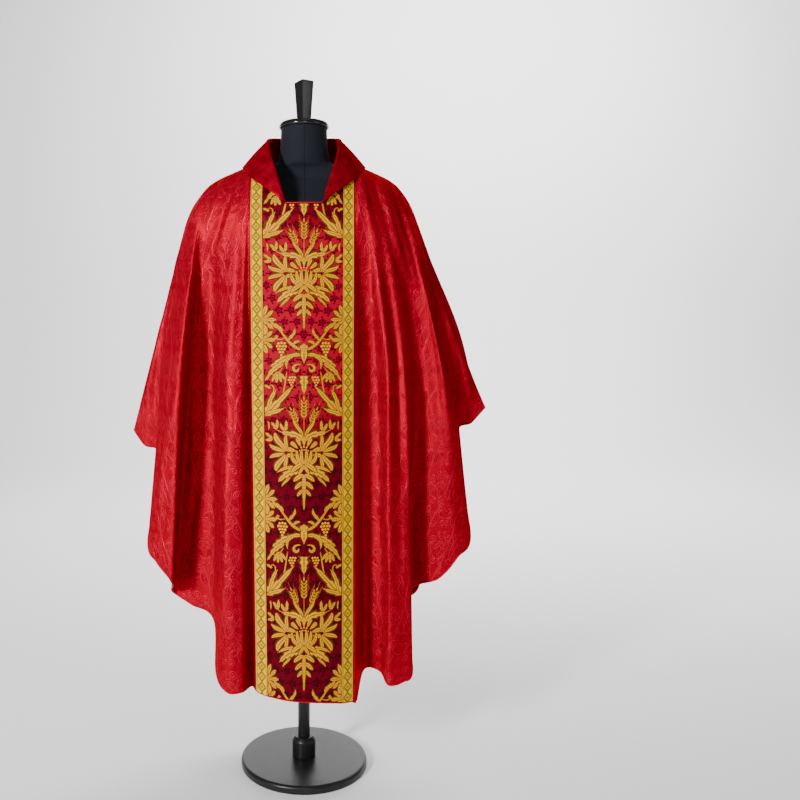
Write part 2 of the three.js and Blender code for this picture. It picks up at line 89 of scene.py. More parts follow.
for method, operation in {
    "__add__": "ADD", "__radd__": "ADD", "__sub__": "SUBTRACT", "__mul__": "MULTIPLY",
    "__rmul__": "MULTIPLY", "__abs__": "ABSOLUTE", "sin": "SINE", "cos": "COSINE", "root": "SQRT",
    "most": "MAXIMUM", "angle": "ARCTAN2",
}.items():
    setattr(Level, method, partialmethod(Level.math, operation))


class Finish:
    """A material: one Principled shader and the nodes that feed it."""

    def __init__(self, name, **constants):
        self.material = bpy.data.materials.new(name)
        self.material.use_nodes = True
        self.tree = self.material.node_tree
        self.shader = self.tree.nodes["Principled BSDF"]
        for socket, value in constants.items():
            self.shader.inputs[socket.replace("_", " ")].default_value = value

    def node(self, kind, settings=(), inputs=()):
        node = self.tree.nodes.new(kind)
        for key, value in dict(settings).items():
            setattr(node, key, value)
        for key, value in dict(inputs).items():
            value = value.socket if isinstance(value, Level) else value
            if isinstance(value, bpy.types.NodeSocket):
                self.tree.links.new(value, node.inputs[key])
            else:
                node.inputs[key].default_value = value
        return node

    def place(self, source="Object"):
        """The three coordinates of a point, as levels, and the vector itself."""
        vector = self.node("ShaderNodeTexCoord").outputs[source]
        parts = self.node("ShaderNodeSeparateXYZ", inputs={0: vector})
        return [*(Level(self, socket) for socket in parts.outputs), vector]

    def on_cloth(self):
        """A point's place on the piece's own cloth, across and up, and the vector of both."""
        across, up, _, vector = self.place("UV")
        return across, up, vector

    def noise(self, vector, scale, detail=3.0):
        sizes = {"Vector": vector, "Scale": scale, "Detail": detail, "Roughness": 0.5}
        return Level(self, self.node("ShaderNodeTexNoise", inputs=sizes).outputs["Fac"])

    def mix(self, share, *colours):
        """A colour between two: share 0 gives the first."""
        first, second = (c if isinstance(c, bpy.types.NodeSocket) else (*c, 1) for c in colours)
        node = self.node("ShaderNodeMix", {"data_type": "RGBA"}, {0: share, 6: first, 7: second})
        return node.outputs[2]

    def feed(self, socket, value):
        value = value.socket if isinstance(value, Level) else value
        self.tree.links.new(value, self.shader.inputs[socket])

    def bump(self, height, distance, strength):
        sizes = {"Height": height, "Distance": distance, "Strength": strength}
        self.feed("Normal", self.node("ShaderNodeBump", inputs=sizes).outputs[0])


def mesh_from_grid(points, closed_across=False):
    """Points on a grid [row, column] as joined quads. One closed across is a tube of rings from
    the bottom up, whose faces are turned round to point outwards."""
    rows, columns = points.shape[:2]
    i = np.arange(rows - 1)[:, None]
    j = np.arange(columns if closed_across else columns - 1)[None, :]
    below, right = i + 1, (j + 1) % columns
    corners = [i * columns + j, below * columns + j, below * columns + right, i * columns + right]
    faces = np.stack(np.broadcast_arrays(*corners), -1).reshape(-1, 4)
    if closed_across:
        faces = faces[:, ::-1]
    return points.reshape(-1, 3), faces.tolist(), None


def add_piece(name, parts, finish, slot=None, replaces=()):
    """Puts a mesh in the scene on the one body, with its finish and the solids it stands for."""
    points, faces, uv = parts
    data = bpy.data.meshes.new(name)
    data.from_pydata(points.tolist(), [], faces)
    if uv is not None:
        layer = data.uv_layers.new(name="UVMap")
        corner = np.zeros(len(data.loops), np.int32)
        data.loops.foreach_get("vertex_index", corner)
        layer.data.foreach_set("uv", uv[corner].astype(np.float32).ravel())
    data.polygons.foreach_set("use_smooth", np.full(len(data.polygons), True))
    data.set_sharp_from_angle(angle=math.radians(SHARP_ANGLE))
    data.materials.append(finish.material)
    data.update()
    piece = bpy.data.objects.new(name, data)
    bpy.context.scene.collection.objects.link(piece)
    if slot:
        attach(piece, "root")
    if replaces:
        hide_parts(*replaces)
    return piece


sweep_turn = np.linspace(0, math.pi / 2, 16)
sweep_out = FLOOR_FAR + SWEEP_RADIUS * np.sin(sweep_turn)
sweep_up = SWEEP_RADIUS * (1 - np.cos(sweep_turn))
sweep_out = np.concatenate([[FLOOR_NEAR], sweep_out, [FLOOR_FAR + SWEEP_RADIUS]])
sweep_up = np.concatenate([[0.0], sweep_up, [SWEEP_TOP]])
floor_points = np.stack([
    np.stack([np.full(len(sweep_up), x), sweep_out, sweep_up], 1) for x in (-FLOOR_HALF, FLOOR_HALF)
])
floor_finish = Finish("studio_floor", Roughness=0.85)
floor_mottle = floor_finish.noise(floor_finish.place()[-1], 1.5, 2.0)
floor_finish.feed("Base Color", floor_finish.mix(floor_mottle, (0.88, 0.88, 0.88), (0.91, 0.91, 0.91)))
floor = add_piece("studio_floor", mesh_from_grid(floor_points), floor_finish)

world = bpy.data.worlds.new("studio")
bpy.context.scene.world = world
world.use_nodes = True
# The room gives little light, but looks as pale as the sheet where the sheet ends.
ROOM_LIGHT, ROOM_LOOK = 0.13, 0.85
room = world.node_tree.nodes["Background"]
room.inputs[0].default_value = (1.0, 1.0, 1.0, 1)
seen = world.node_tree.nodes.new("ShaderNodeMapRange")
seen.inputs["To Min"].default_value = ROOM_LIGHT
seen.inputs["To Max"].default_value = ROOM_LOOK
sight = world.node_tree.nodes.new("ShaderNodeLightPath")
world.node_tree.links.new(sight.outputs["Is Camera Ray"], seen.inputs["Value"])
world.node_tree.links.new(seen.outputs[0], room.inputs[1])

LAMPS = {
    # name: (place, aimed at, width, height, watts)
    "key_lamp": ((-2.1, -2.8, 1.7), (0.0, 0.0, 0.85), 0.5, 0.7, 180),
    "front_lamp": ((0.3, -3.9, 1.5), (0.0, 0.0, 0.9), 0.8, 0.8, 18),
    "fill_lamp": ((2.8, -1.6, 1.5), (0.0, 0.0, 0.9), 1.2, 1.6, 10),
    "top_lamp": ((0.2, -1.2, 3.6), (0.0, 0.0, 1.2), 1.2, 1.2, 8),
    "back_lamp": ((-1.2, 2.8, 2.2), (0.0, 0.0, 1.0), 1.6, 1.6, 14),
    "backdrop_lamp": ((1.2, 1.9, 3.4), (0.9, 4.4, 0.9), 3.2, 1.6, 330),
}
for lamp_name, (lamp_place, lamp_aim, lamp_width, lamp_height, lamp_watts) in LAMPS.items():
    lamp_data = bpy.data.lights.new(lamp_name, "AREA")
    lamp_data.shape = "RECTANGLE"
    lamp_data.size, lamp_data.size_y = lamp_width, lamp_height
    lamp_data.energy = lamp_watts
    lamp = bpy.data.objects.new(lamp_name, lamp_data)
    lamp_direction = np.subtract(lamp_aim, lamp_place)
    lamp.location = lamp_place
    lamp.rotation_euler = (
        math.atan2(math.hypot(*lamp_direction[:2]), -lamp_direction[2]),
        0,
        math.atan2(lamp_direction[1], lamp_direction[0]) - math.pi / 2,
    )
    bpy.context.scene.collection.objects.link(lamp)

# The camera is level, 1.13 m up and 2.25 m in front of the stand, which stands left of the
# middle of the picture.
FOCAL_PIXELS = 956
PICTURE_PIXELS = 800
AXIS_PIXEL = 304
EYE_PIXEL = 282
CAMERA_PLACE = (0.0, -2.25, 1.13)
SENSOR = 36.0
camera_data = bpy.data.cameras.new("camera")
camera_data.sensor_width = SENSOR
camera_data.lens = SENSOR * FOCAL_PIXELS / PICTURE_PIXELS
camera_data.shift_x = (PICTURE_PIXELS / 2 - AXIS_PIXEL) / PICTURE_PIXELS
camera_data.shift_y = -(PICTURE_PIXELS / 2 - EYE_PIXEL) / PICTURE_PIXELS
camera = bpy.data.objects.new("camera", camera_data)
camera.location = CAMERA_PLACE
camera.rotation_euler = (math.pi / 2, 0, 0)
bpy.context.scene.collection.objects.link(camera)
bpy.context.scene.camera = camera


# Stand
# A turned steel plate, a hub screwed to its middle and one steel tube, all painted satin
# black. The plate's upper edge is rounded and its underside is flat.


def turned(profile, sides=96, soft=0.0012, steps=4):
    """A profile of (radius, height) turned about the pole: each corner is first rounded by an
    arc through points "soft" before and after it, then the whole is swept round in steps."""
    profile = np.asarray(profile, float)
    path = [profile[0]]
    for before, corner, after in zip(profile[:-2], profile[1:-1], profile[2:]):
        to, away = before - corner, after - corner
        reach = min(soft, np.linalg.norm(to) / 2.1, np.linalg.norm(away) / 2.1)
        start = corner + to / np.linalg.norm(to) * reach
        end = corner + away / np.linalg.norm(away) * reach
        t = np.linspace(0, 1, steps)[:, None]
        path.extend((1 - t) ** 2 * start + 2 * t * (1 - t) * corner + t**2 * end)
    path.append(profile[-1])
    path = np.array(path)
    angle = np.linspace(0, 2 * math.pi, sides, endpoint=False)
    radius, height = path[:, :1], path[:, 1:]
    ring = np.stack(np.broadcast_arrays(radius * np.cos(angle), radius * np.sin(angle), height), -1)
    return capped(ring[1:-1], ring[0, 0], ring[-1, 0])


def capped(rings, low, high):
    """Rings [row, column] from the bottom up, closed by a fan to a point at each end."""
    points, faces, _ = mesh_from_grid(rings, closed_across=True)
    rows, sides = rings.shape[:2]
    points = np.concatenate([points, [low, high]])
    around = np.arange(sides)
    ahead = (around + 1) % sides
    bottom = np.stack([np.full(sides, rows * sides), ahead, around], 1)
    last = (rows - 1) * sides
    top = np.stack([np.full(sides, rows * sides + 1), last + around, last + ahead], 1)
    return points, faces + bottom.tolist() + top.tolist(), None


base_low, base_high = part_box("stand_base")
hub_low, hub_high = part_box("stand_hub")
pole_low, pole_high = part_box("stand_pole")

paint = Finish("satin_black_paint", Roughness=0.32, Specular_IOR_Level=0.3)
paint_vector = paint.place()[-1]
paint_cloud = paint.noise(paint_vector, 14)
paint.feed("Base Color", paint.mix(paint_cloud, (0.006, 0.006, 0.007), (0.011, 0.011, 0.012)))
paint_wear = paint.noise(paint_vector, 45, 4)
paint.feed("Roughness", paint_wear * 0.14 + 0.26)
paint.bump(paint.noise(paint_vector, 900, 2), 0.0002, 0.25)

BASE_EDGE = 7 * MM
base_radius = base_high.x
base_rim = [
    (base_radius - BASE_EDGE * (1 - math.cos(turn)), base_high.z - BASE_EDGE * (1 - math.sin(turn)))
    for turn in np.linspace(0, math.pi / 2, 9)
]
base_profile = [
    (0, base_low.z), (base_radius - 2 * MM, base_low.z), (base_radius, 2 * MM), *base_rim,
    (0, base_high.z),
]
add_piece("base_plate", turned(base_profile, 128), paint, "stand_black", ["stand_base"])

hub_radius = hub_high.x
HUB_SHOULDER = 6 * MM
HUB_SLOPE = 8 * MM
hub_profile = [
    (0, hub_low.z), (hub_radius, hub_low.z), (hub_radius, hub_high.z - HUB_SLOPE),
    (hub_radius - HUB_SHOULDER, hub_high.z), (0, hub_high.z),
]
add_piece("pole_hub", turned(hub_profile), paint, "stand_black", ["stand_hub"])
pole_radius = pole_high.x
pole_profile = [(0, pole_low.z), (pole_radius, pole_low.z), (pole_radius, pole_high.z), (0, pole_high.z)]
add_piece("pole", turned(pole_profile), paint, "stand_black", ["stand_pole"])


# Torso and neck
# A padded bust shell without arms under tight black jersey, with one seam down the middle of
# the front and back. Only the neck and throat show, above and inside the chasuble's neckline.

# Height, half width and half depth.
TORSO_SECTIONS = np.array([
    [720, 158, 94], [745, 166, 101], [850, 160, 100], [960, 146, 94], [1080, 154, 98],
    [1180, 176, 106], [1250, 188, 107], [1300, 191, 95], [1335, 190, 66], [1358, 188, 50],
    [1373.5, 185, 38], [1389.7, 150, 40], [1397, 120, 43], [1401, 88, 48], [1409, 66, 54],
    [1432, 58, 57], [1458, 55, 55], [1489, 54, 54],
]) * MM


def smooth_through(known, values, wanted):
    """A curve through values at known places with no overshoot: cubic pieces whose slope at
    each place is the harmonic mean of the slopes beside it, or 0 at a turning point."""
    step = np.diff(known)[:, None]
    slope = np.diff(values, axis=0) / step
    same = slope[1:] * slope[:-1] > 0
    total = np.where(same, slope[1:] + slope[:-1], 1)
    middle = np.where(same, 2 * slope[1:] * slope[:-1] / total, 0)
    tangent = np.concatenate([slope[:1], middle, slope[-1:]])
    i = np.clip(np.searchsorted(known, wanted, "right") - 1, 0, len(known) - 2)
    width = step[i]
    t = (wanted - known[i])[:, None] / width
    rise = values[i] * (1 - t * t * (3 - 2 * t)) + values[i + 1] * t * t * (3 - 2 * t)
    return rise + width * (tangent[i] * t * (1 - t) ** 2 - tangent[i + 1] * t * t * (1 - t))


TORSO_ROWS = 170
TORSO_SIDES = 144
along = np.linspace(0, len(TORSO_SECTIONS) - 1, TORSO_ROWS)
sections = smooth_through(np.arange(len(TORSO_SECTIONS), dtype=float), TORSO_SECTIONS, along)
around = np.linspace(0, 2 * math.pi, TORSO_SIDES, endpoint=False)
height, half_width, half_depth = (sections[:, k : k + 1] for k in range(3))
torso_rings = np.stack(
    np.broadcast_arrays(half_width * np.cos(around), half_depth * np.sin(around), height), -1
)
bottom_height, top_height = sections[0, 0], sections[-1, 0]
# The neck's top slopes a little, lower behind.
NECK_TILT = 0.08
TILT_START, TILT_END = 1440 * MM, 1489 * MM
tilt_share = np.clip((height - TILT_START) / (TILT_END - TILT_START), 0, 1) ** 2
torso_rings[..., 2] -= NECK_TILT * torso_rings[..., 1] * tilt_share
torso = capped(torso_rings, (0, 0, bottom_height), (0, 0, top_height))

jersey = Finish(
    "black_jersey", Roughness=0.80, Specular_IOR_Level=0.2, Sheen_Weight=0.06, Sheen_Roughness=0.45
)
jersey_x, _, jersey_z, jersey_vector = jersey.place()
JERSEY_RIB = 0.9 * MM
JERSEY_SEAM = 1.1 * MM
JERSEY_GROOVE = 2.4 * MM
jersey_wave = 2 * math.pi / JERSEY_RIB
jersey_rib = (jersey_x * jersey_wave).sin() * (jersey_z * jersey_wave).sin()
jersey_seam = abs(jersey_x).below(JERSEY_SEAM, 0.9 * MM)
groove_dent_and_shade = abs(abs(jersey_x) - JERSEY_GROOVE).below(0.6 * MM, 0.6 * MM)
jersey_cloud = jersey.noise(jersey_vector, 9)
jersey_colour = jersey.mix(jersey_cloud, (0.005, 0.006, 0.010), (0.009, 0.011, 0.017))
# The grooves beside the seam are dented by the bump and also darkened with painted shade in the colour.
jersey.feed("Base Color", jersey.mix(groove_dent_and_shade * 0.6, jersey_colour, (0.002, 0.002, 0.003)))
jersey.bump(jersey_rib * 0.06 + jersey_seam * 0.8 - groove_dent_and_shade * 0.5 + jersey_cloud * 1.2, 0.0012, 0.7)
add_piece("bust", torso, jersey, "jersey", ["form_torso"])


# Neck cap and handle
# A turned wooden cap closes the neck, and a tapered square handle with cut corners stands on
# it to lift the form by. Both are sprayed gloss black.

cap_low, cap_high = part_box("form_neck_cap")
cap_radius = cap_high.x + 1.5 * MM
cap_profile = [
    (0, cap_low.z), (cap_radius - 3 * MM, cap_low.z),
    (cap_radius - 0.6 * MM, cap_low.z + 2 * MM),
    (cap_radius, cap_low.z + 5 * MM), (cap_radius - 1.5 * MM, cap_high.z - 3 * MM),
    (cap_radius - 6 * MM, cap_high.z), (cap_radius - 22 * MM, cap_high.z + 1.5 * MM),
    (0, cap_high.z + 2 * MM),
]
cap_points, *cap_rest = turned(cap_profile, 112, 1.6 * MM)
cap_points[:, 2] -= NECK_TILT * cap_points[:, 1]
gloss = Finish(
    "gloss_black_lacquer", Roughness=0.16, Specular_IOR_Level=0.35, Coat_Weight=0.25, Coat_Roughness=0.08
)
gloss_vector = gloss.place()[-1]
gloss_cloud = gloss.noise(gloss_vector, 30)
gloss.feed("Base Color", gloss.mix(gloss_cloud, (0.006, 0.006, 0.007), (0.012, 0.011, 0.012)))
gloss.feed("Roughness", gloss_cloud * 0.16 + 0.08)
gloss.bump(gloss.noise(gloss_vector, 60, 2), 0.0008, 0.25)
add_piece("neck_cap", (cap_points, *cap_rest), gloss, "gloss_black", ["form_neck_cap"])

HANDLE_BOTTOM = 23.5 * MM
HANDLE_TOP = 34 * MM
HANDLE_CUT = 1.4 * MM
HANDLE_TURN = math.radians(35)
HANDLE_LIP = 1.5 * MM
HANDLE_FOOT = 3 * MM
HANDLE_SHARP = 24
HANDLE_BEVEL = 0.06
# The top is at its full height here, falls to the back and rises to the right.
HANDLE_LEVEL_X, HANDLE_LEVEL_Y = -4 * MM, -24 * MM
HANDLE_FALL, HANDLE_RISE = 0.12, 0.06
handle_low, handle_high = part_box("form_handle")
handle_length = handle_high.z - handle_low.z


def handle_rings():
    """Square rings with cut corners that widen upwards in proportion to the height. The top
    edge is rounded over by a quarter circle, and the top slopes a little, lower behind."""
    straight = np.linspace(0, 1 - HANDLE_LIP / handle_length, 14)
    over = np.linspace(0, math.pi / 2, 6)[1:]
    share = np.concatenate([straight, straight[-1] + HANDLE_LIP / handle_length * np.sin(over)])
    inset = np.concatenate([np.zeros(len(straight)), HANDLE_LIP * (1 - np.cos(over))])
    half = (HANDLE_BOTTOM + (HANDLE_TOP - HANDLE_BOTTOM) * share) / 2 - inset
    cut = half * (1 - 2 * HANDLE_CUT / HANDLE_TOP)
    corner = np.array([[1, -1], [1, 1], [1, 1], [-1, 1], [-1, 1], [-1, -1], [-1, -1], [1, -1]])
    wide = np.array([[1, 0], [1, 0], [0, 1], [0, 1], [1, 0], [1, 0], [0, 1], [0, 1]])
    flat = (half[:, None, None] * wide + cut[:, None, None] * (1 - wide)) * corner
    kept = flat * (1 - HANDLE_BEVEL)
    bevel = [np.roll(flat, 1, 1) * HANDLE_BEVEL + kept, kept + np.roll(flat, -1, 1) * HANDLE_BEVEL]
    flat = np.stack(bevel, 2).reshape(len(share), -1, 2)
    cos, sin = math.cos(HANDLE_TURN), math.sin(HANDLE_TURN)
    x = flat[..., 0] * cos - flat[..., 1] * sin
    y = flat[..., 0] * sin + flat[..., 1] * cos
    foot = handle_low.z - HANDLE_FOOT
    slope = HANDLE_FALL * (y - HANDLE_LEVEL_Y) - HANDLE_RISE * (x - HANDLE_LEVEL_X)
    z = foot + (share * (handle_high.z - foot))[:, None] - slope * share[:, None] ** 4
    return np.stack([x, y, z], -1)


handle_points = handle_rings()
handle_parts = capped(handle_points, handle_points[0].mean(0), handle_points[-1].mean(0))
handle = add_piece("handle", handle_parts, gloss, "gloss_black", ["form_handle"])
handle.data.set_sharp_from_angle(angle=math.radians(HANDLE_SHARP))


# Panels
# The chasuble is two lined panels of red silk damask, joined along the shoulders and down to the
# side tips, that fall from the shoulders in deep uneven folds to a scalloped hem. The weave
# shows scrolls, leaves and blossoms tone on tone: satin figures on a duller twill.

PANEL_WALL = 2 * MM
SEAM_HALF_GAP = 0.15 * MM
NECK_HALF, NECK_HEIGHT = 85 * MM, 1415 * MM
SHOULDER_HALF, SHOULDER_HEIGHT = 228 * MM, 1353 * MM
SHOULDER_ARCH, SHOULDER_SLOPE = 6 * MM, 0.3
SHOULDER_DROP, OUTER_SLOPE = 12 * MM, 1.1
CORNER_HALF, CORNER_OUT, CORNER_HEIGHT = 41 * MM, 125 * MM, 1305 * MM
CENTRE_DIP, BACK_NECK_OUT, BACK_NECK_RISE = 3 * MM, 72 * MM, 3 * MM
CHEST_HEIGHT, WAIST_HEIGHT = 1250 * MM, 900 * MM
TORSO_EDGE = 190 * MM
BAND_EDGE, GALLOON_INNER = 115 * MM, 91 * MM

# One row for each fold line from the viewer's left to the right of the side that faces them:
# top, chest across and out, waist across and out, hem across, out and height.
FRONT_FOLDS = np.array([
    [-228, -283, 0, -371, 0, -400, 0, 785],
    [-225, -280, 14, -360, 18, -372, 16, 752],
    [-220, -275, 27, -338, 30, -333, 22, 722],
    [-212, -266, 46, -322, 66, -359, 52, 540],
    [-206, -258, 60, -303, 98, -332, 85, 495],
    [-199, -247, 72, -275, 122, -294, 113, 461],
    [-188, -234, 73, -268, 48, -304, 30, 414],
    [-180, -221, 78, -250, 38, -261, 40, 388],
    [-171, -205, 86, -209, 48, -207, 58, 360],
    [-159, -182, 97, -192, 92, -197, 110, 258],
    [-142, -152, 112, -171, 141, -170, 149, 231],
    [-131, -132, 117, -139, 146, -136, 149, 231],
    [-123, -125, 117, -123, 118, -117, 106, 227],
    [-115, -119, 118.5, -113, 138, -103, 142, 229],
    [-91, -93, 124, -88, 149, -79, 158, 226],
    [-85, -84, 125.5, -80, 151.5, -72, 160, 225],
    [-41, -43, 129, -41, 163, -38, 170, 222],
    [0, 0, 131, 0, 168, 0, 174, 220],
    [41, 41, 129, 40, 163, 39, 170, 217],
    [85, 81, 126, 77, 152, 75, 160, 212],
    [91, 87, 124.5, 84, 149.5, 82, 158, 211],
    [115, 110.5, 119, 108, 138, 106.5, 143, 208],
    [121, 115, 118, 115, 132, 116, 137, 208],
    [128, 123, 117, 132, 94, 136, 82, 255],
    [139, 139, 112, 168, 97, 170, 106, 260],
    [151, 152, 111, 186, 139, 186, 139, 243],
    [168, 172, 104, 209, 111, 220, 124, 243],
    [181, 190, 97, 230, 117, 244, 104, 264],
    [197, 217, 80, 255, 62, 238, 46, 412],
    [205, 235, 67, 298, 72, 306, 66, 455],
    [213, 246, 57, 317, 88, 350, 66, 503],
    [219, 257, 40, 337, 60, 384, 42, 552],
    [223, 265, 24, 364, 28, 352, 22, 768],
    [226, 271, 12, 388, 14, 392, 12, 804],
    [228, 274, 0, 400, 0, 426, 0, 838],
]) * MM
BACK_FOLDS = np.array([
    [-228, -274, 0, -400, 0, -426, 0, 838],
    [-225, -270, 16, -384, 24, -388, 22, 808],
    [-219, -262, 38, -350, 58, -340, 56, 730],
    [-212, -252, 54, -322, 70, -327, 64, 612],
    [-204, -240, 66, -292, 44, -272, 30, 535],
    [-194, -224, 80, -272, 92, -280, 78, 395],
    [-182, -200, 92, -240, 126, -240, 118, 345],
    [-168, -172, 102, -188, 76, -186, 58, 333],
    [-155, -153, 110, -166, 112, -173, 118, 262],
    [-142, -140, 116, -147, 148, -146, 152, 236],
    [-128, -126, 120, -122, 119, -113, 112, 238],
    [-115, -111, 123, -108, 141, -99, 146, 238],
    [-91, -87, 127, -83, 152, -76, 161, 237],
    [-85, -81, 128, -77, 155, -70, 163, 237],
    [0, 0, 134, 2, 170, 12, 178, 236],
    [85, 84, 128, 83, 155, 91, 163, 237],
    [91, 90, 127, 89, 152, 98, 161, 237],
    [115, 115, 123, 115, 141, 124, 146, 238],
    [128, 130, 119, 134, 116, 140, 104, 284],
    [146, 156, 113, 174, 145, 180, 142, 268],
    [160, 174, 105, 200, 120, 213, 106, 300],
    [174, 190, 96, 222, 72, 222, 50, 362],
    [190, 214, 88, 259, 118, 276, 102, 402],
    [205, 238, 72, 293, 86, 322, 64, 478],
    [214, 255, 52, 314, 46, 306, 34, 586],
    [222, 270, 32, 344, 46, 337, 44, 712],
    [226, 279, 13, 362, 18, 374, 16, 756],
    [228, 283, 0, 371, 0, 400, 0, 785],
]) * MM

# Fine creases on top of the folds, on each side as its viewer sees it:
# across and height of both ends, half width, and depth (below 0 sinks in), all in mm.
FRONT_CREASES = np.array([
    [-128, 1392, -196, 1180, 10, -5.4], [-152, 1386, -236, 1150, 9, 4.8],
    [-176, 1374, -262, 1130, 9, -5.8], [-196, 1366, -286, 1090, 8, 4.4],
    [-212, 1358, -304, 1150, 7, -4.4], [-140, 1250, -156, 930, 10, 4.1],
    [-226, 1140, -262, 760, 11, -4.4], [-190, 1190, -204, 820, 10, -4.4],
    [-312, 1110, -352, 800, 10, 5.1], [-330, 1060, -378, 830, 8, -4.4],
    [-282, 900, -330, 540, 10, -5.1], [-180, 760, -182, 330, 11, -5.1],
    [-240, 700, -268, 420, 11, 5.1], [-150, 560, -150, 250, 9, 4.1],
    [126, 1390, 168, 1200, 10, -5.4], [150, 1384, 214, 1150, 9, 4.4],
    [172, 1374, 246, 1110, 9, -5.4], [194, 1366, 276, 1080, 8, 4.8],
    [210, 1358, 300, 1120, 7, -4.4], [150, 1180, 172, 820, 10, -4.1],
    [206, 1150, 250, 840, 10, 4.4], [236, 1100, 296, 800, 10, -4.8],
    [290, 1120, 352, 860, 10, 4.8], [318, 1080, 392, 850, 8, -4.4],
    [296, 860, 350, 540, 10, -4.8], [206, 780, 214, 330, 10, -4.8],
    [250, 740, 256, 440, 10, 4.4], [168, 620, 172, 260, 10, 4.1],
])
BACK_CREASES = np.array([
    [-126, 1392, -166, 1190, 10, -5.1], [-150, 1384, -212, 1140, 9, 4.4],
    [-174, 1374, -246, 1110, 9, -5.4], [-196, 1364, -280, 1090, 8, 4.4],
    [-212, 1356, -302, 1130, 7, -4.4], [-154, 1180, -170, 840, 10, -4.1],
    [-214, 1130, -250, 800, 10, 4.4], [-244, 1080, -300, 780, 10, -4.8],
    [-296, 1110, -356, 860, 10, 4.4], [-320, 1070, -392, 850, 8, -4.4],
    [-210, 780, -214, 380, 10, -4.8], [-162, 640, -160, 270, 10, 4.1],
    [128, 1390, 172, 1170, 10, 5.1], [154, 1382, 220, 1130, 9, -4.8],
    [178, 1372, 252, 1100, 9, 4.8], [198, 1362, 284, 1080, 8, -4.8],
    [162, 1180, 190, 860, 10, 4.1], [226, 1110, 256, 780, 10, -4.4],
    [262, 1060, 300, 760, 10, 4.4], [306, 1080, 352, 830, 9, -4.4],
    [200, 760, 206, 340, 10, 4.8], [252, 700, 262, 440, 10, -4.4],
])

SHOULDER_ROWS = 26
BODY_ROWS = 118
COLUMN_STEP = 4.4 * MM
CREASE_BOW = 0.025
CREASE_CLEAR, CREASE_FADE = 3 * MM, 9 * MM


def between_rows(rows, places):
    """A Catmull-Rom curve through all columns of a table, at any place along it."""
    last = len(rows) - 1
    i = np.clip(np.floor(places).astype(int), 0, last - 1)
    t = (places - i)[:, None]
    a, b = rows[np.clip(i - 1, 0, last)], rows[i]
    c, d = rows[i + 1], rows[np.clip(i + 2, 0, last)]
    even = t * t * (3 - 2 * t)
    return b * (1 - even) + c * even + t * (1 - t) ** 2 * (c - a) / 2 - t * t * (1 - t) * (d - b) / 2


def past_torso(half):
    """0 over the torso's shoulder, and from there a parabola that reaches 1 at the seam's end."""
    return np.clip((half - TORSO_EDGE) / (SHOULDER_HALF - TORSO_EDGE), 0, 1) ** 2


def seam_height(half):
    """The shoulder seam: a straight line from neck to shoulder point, plus a low arch, less a
    drop past the torso, where nothing bears the cloth."""
    share = (half - NECK_HALF) / (SHOULDER_HALF - NECK_HALF)
    straight = NECK_HEIGHT + (SHOULDER_HEIGHT - NECK_HEIGHT) * share
    return straight + 4 * SHOULDER_ARCH * share * (1 - share) - SHOULDER_DROP * past_torso(half)


def front_top(top):
    """Top edge of the front: the shoulder seam, then a curve down the round of the chest to
    each corner, and a nearly level line between the corners."""
    half = np.abs(top)
    turn = math.pi / 2 * (NECK_HALF - half) / (NECK_HALF - CORNER_HALF)

    def round_at(level):
        return np.sqrt(1 - ((level - CHEST_HEIGHT) / (NECK_HEIGHT - CHEST_HEIGHT)) ** 2)

    height = CORNER_HEIGHT + (NECK_HEIGHT - CORNER_HEIGHT) * np.cos(turn)
    corner_reach = CORNER_OUT / round_at(CORNER_HEIGHT)
    reach = corner_reach + (CORNER_OUT - corner_reach) * np.cos(turn)
    curve = np.stack([
        np.sign(top) * (CORNER_HALF + (NECK_HALF - CORNER_HALF) * np.cos(turn)),
        SEAM_HALF_GAP + reach * round_at(np.minimum(height, NECK_HEIGHT)), height,
    ], 1)
    dip = CENTRE_DIP * (1 - (half / CORNER_HALF) ** 2)
    middle = np.stack([top, CORNER_OUT + dip, np.full(len(top), CORNER_HEIGHT)], 1)
    seam = np.stack([top, np.full(len(top), SEAM_HALF_GAP), seam_height(half)], 1)
    half = half[:, None]
    return np.where(half >= NECK_HALF, seam, np.where(half <= CORNER_HALF, middle, curve))


def back_top(top):
    """Top edge of the back: the shoulder seam, and a round curve behind the neck."""
    half = np.abs(top)
    inside = 1 - np.minimum(half / NECK_HALF, 1) ** 2.5
    out = SEAM_HALF_GAP + BACK_NECK_OUT * inside
    height = np.where(half >= NECK_HALF, seam_height(half), NECK_HEIGHT + BACK_NECK_RISE * inside)
    return np.stack([top, out, height], 1)


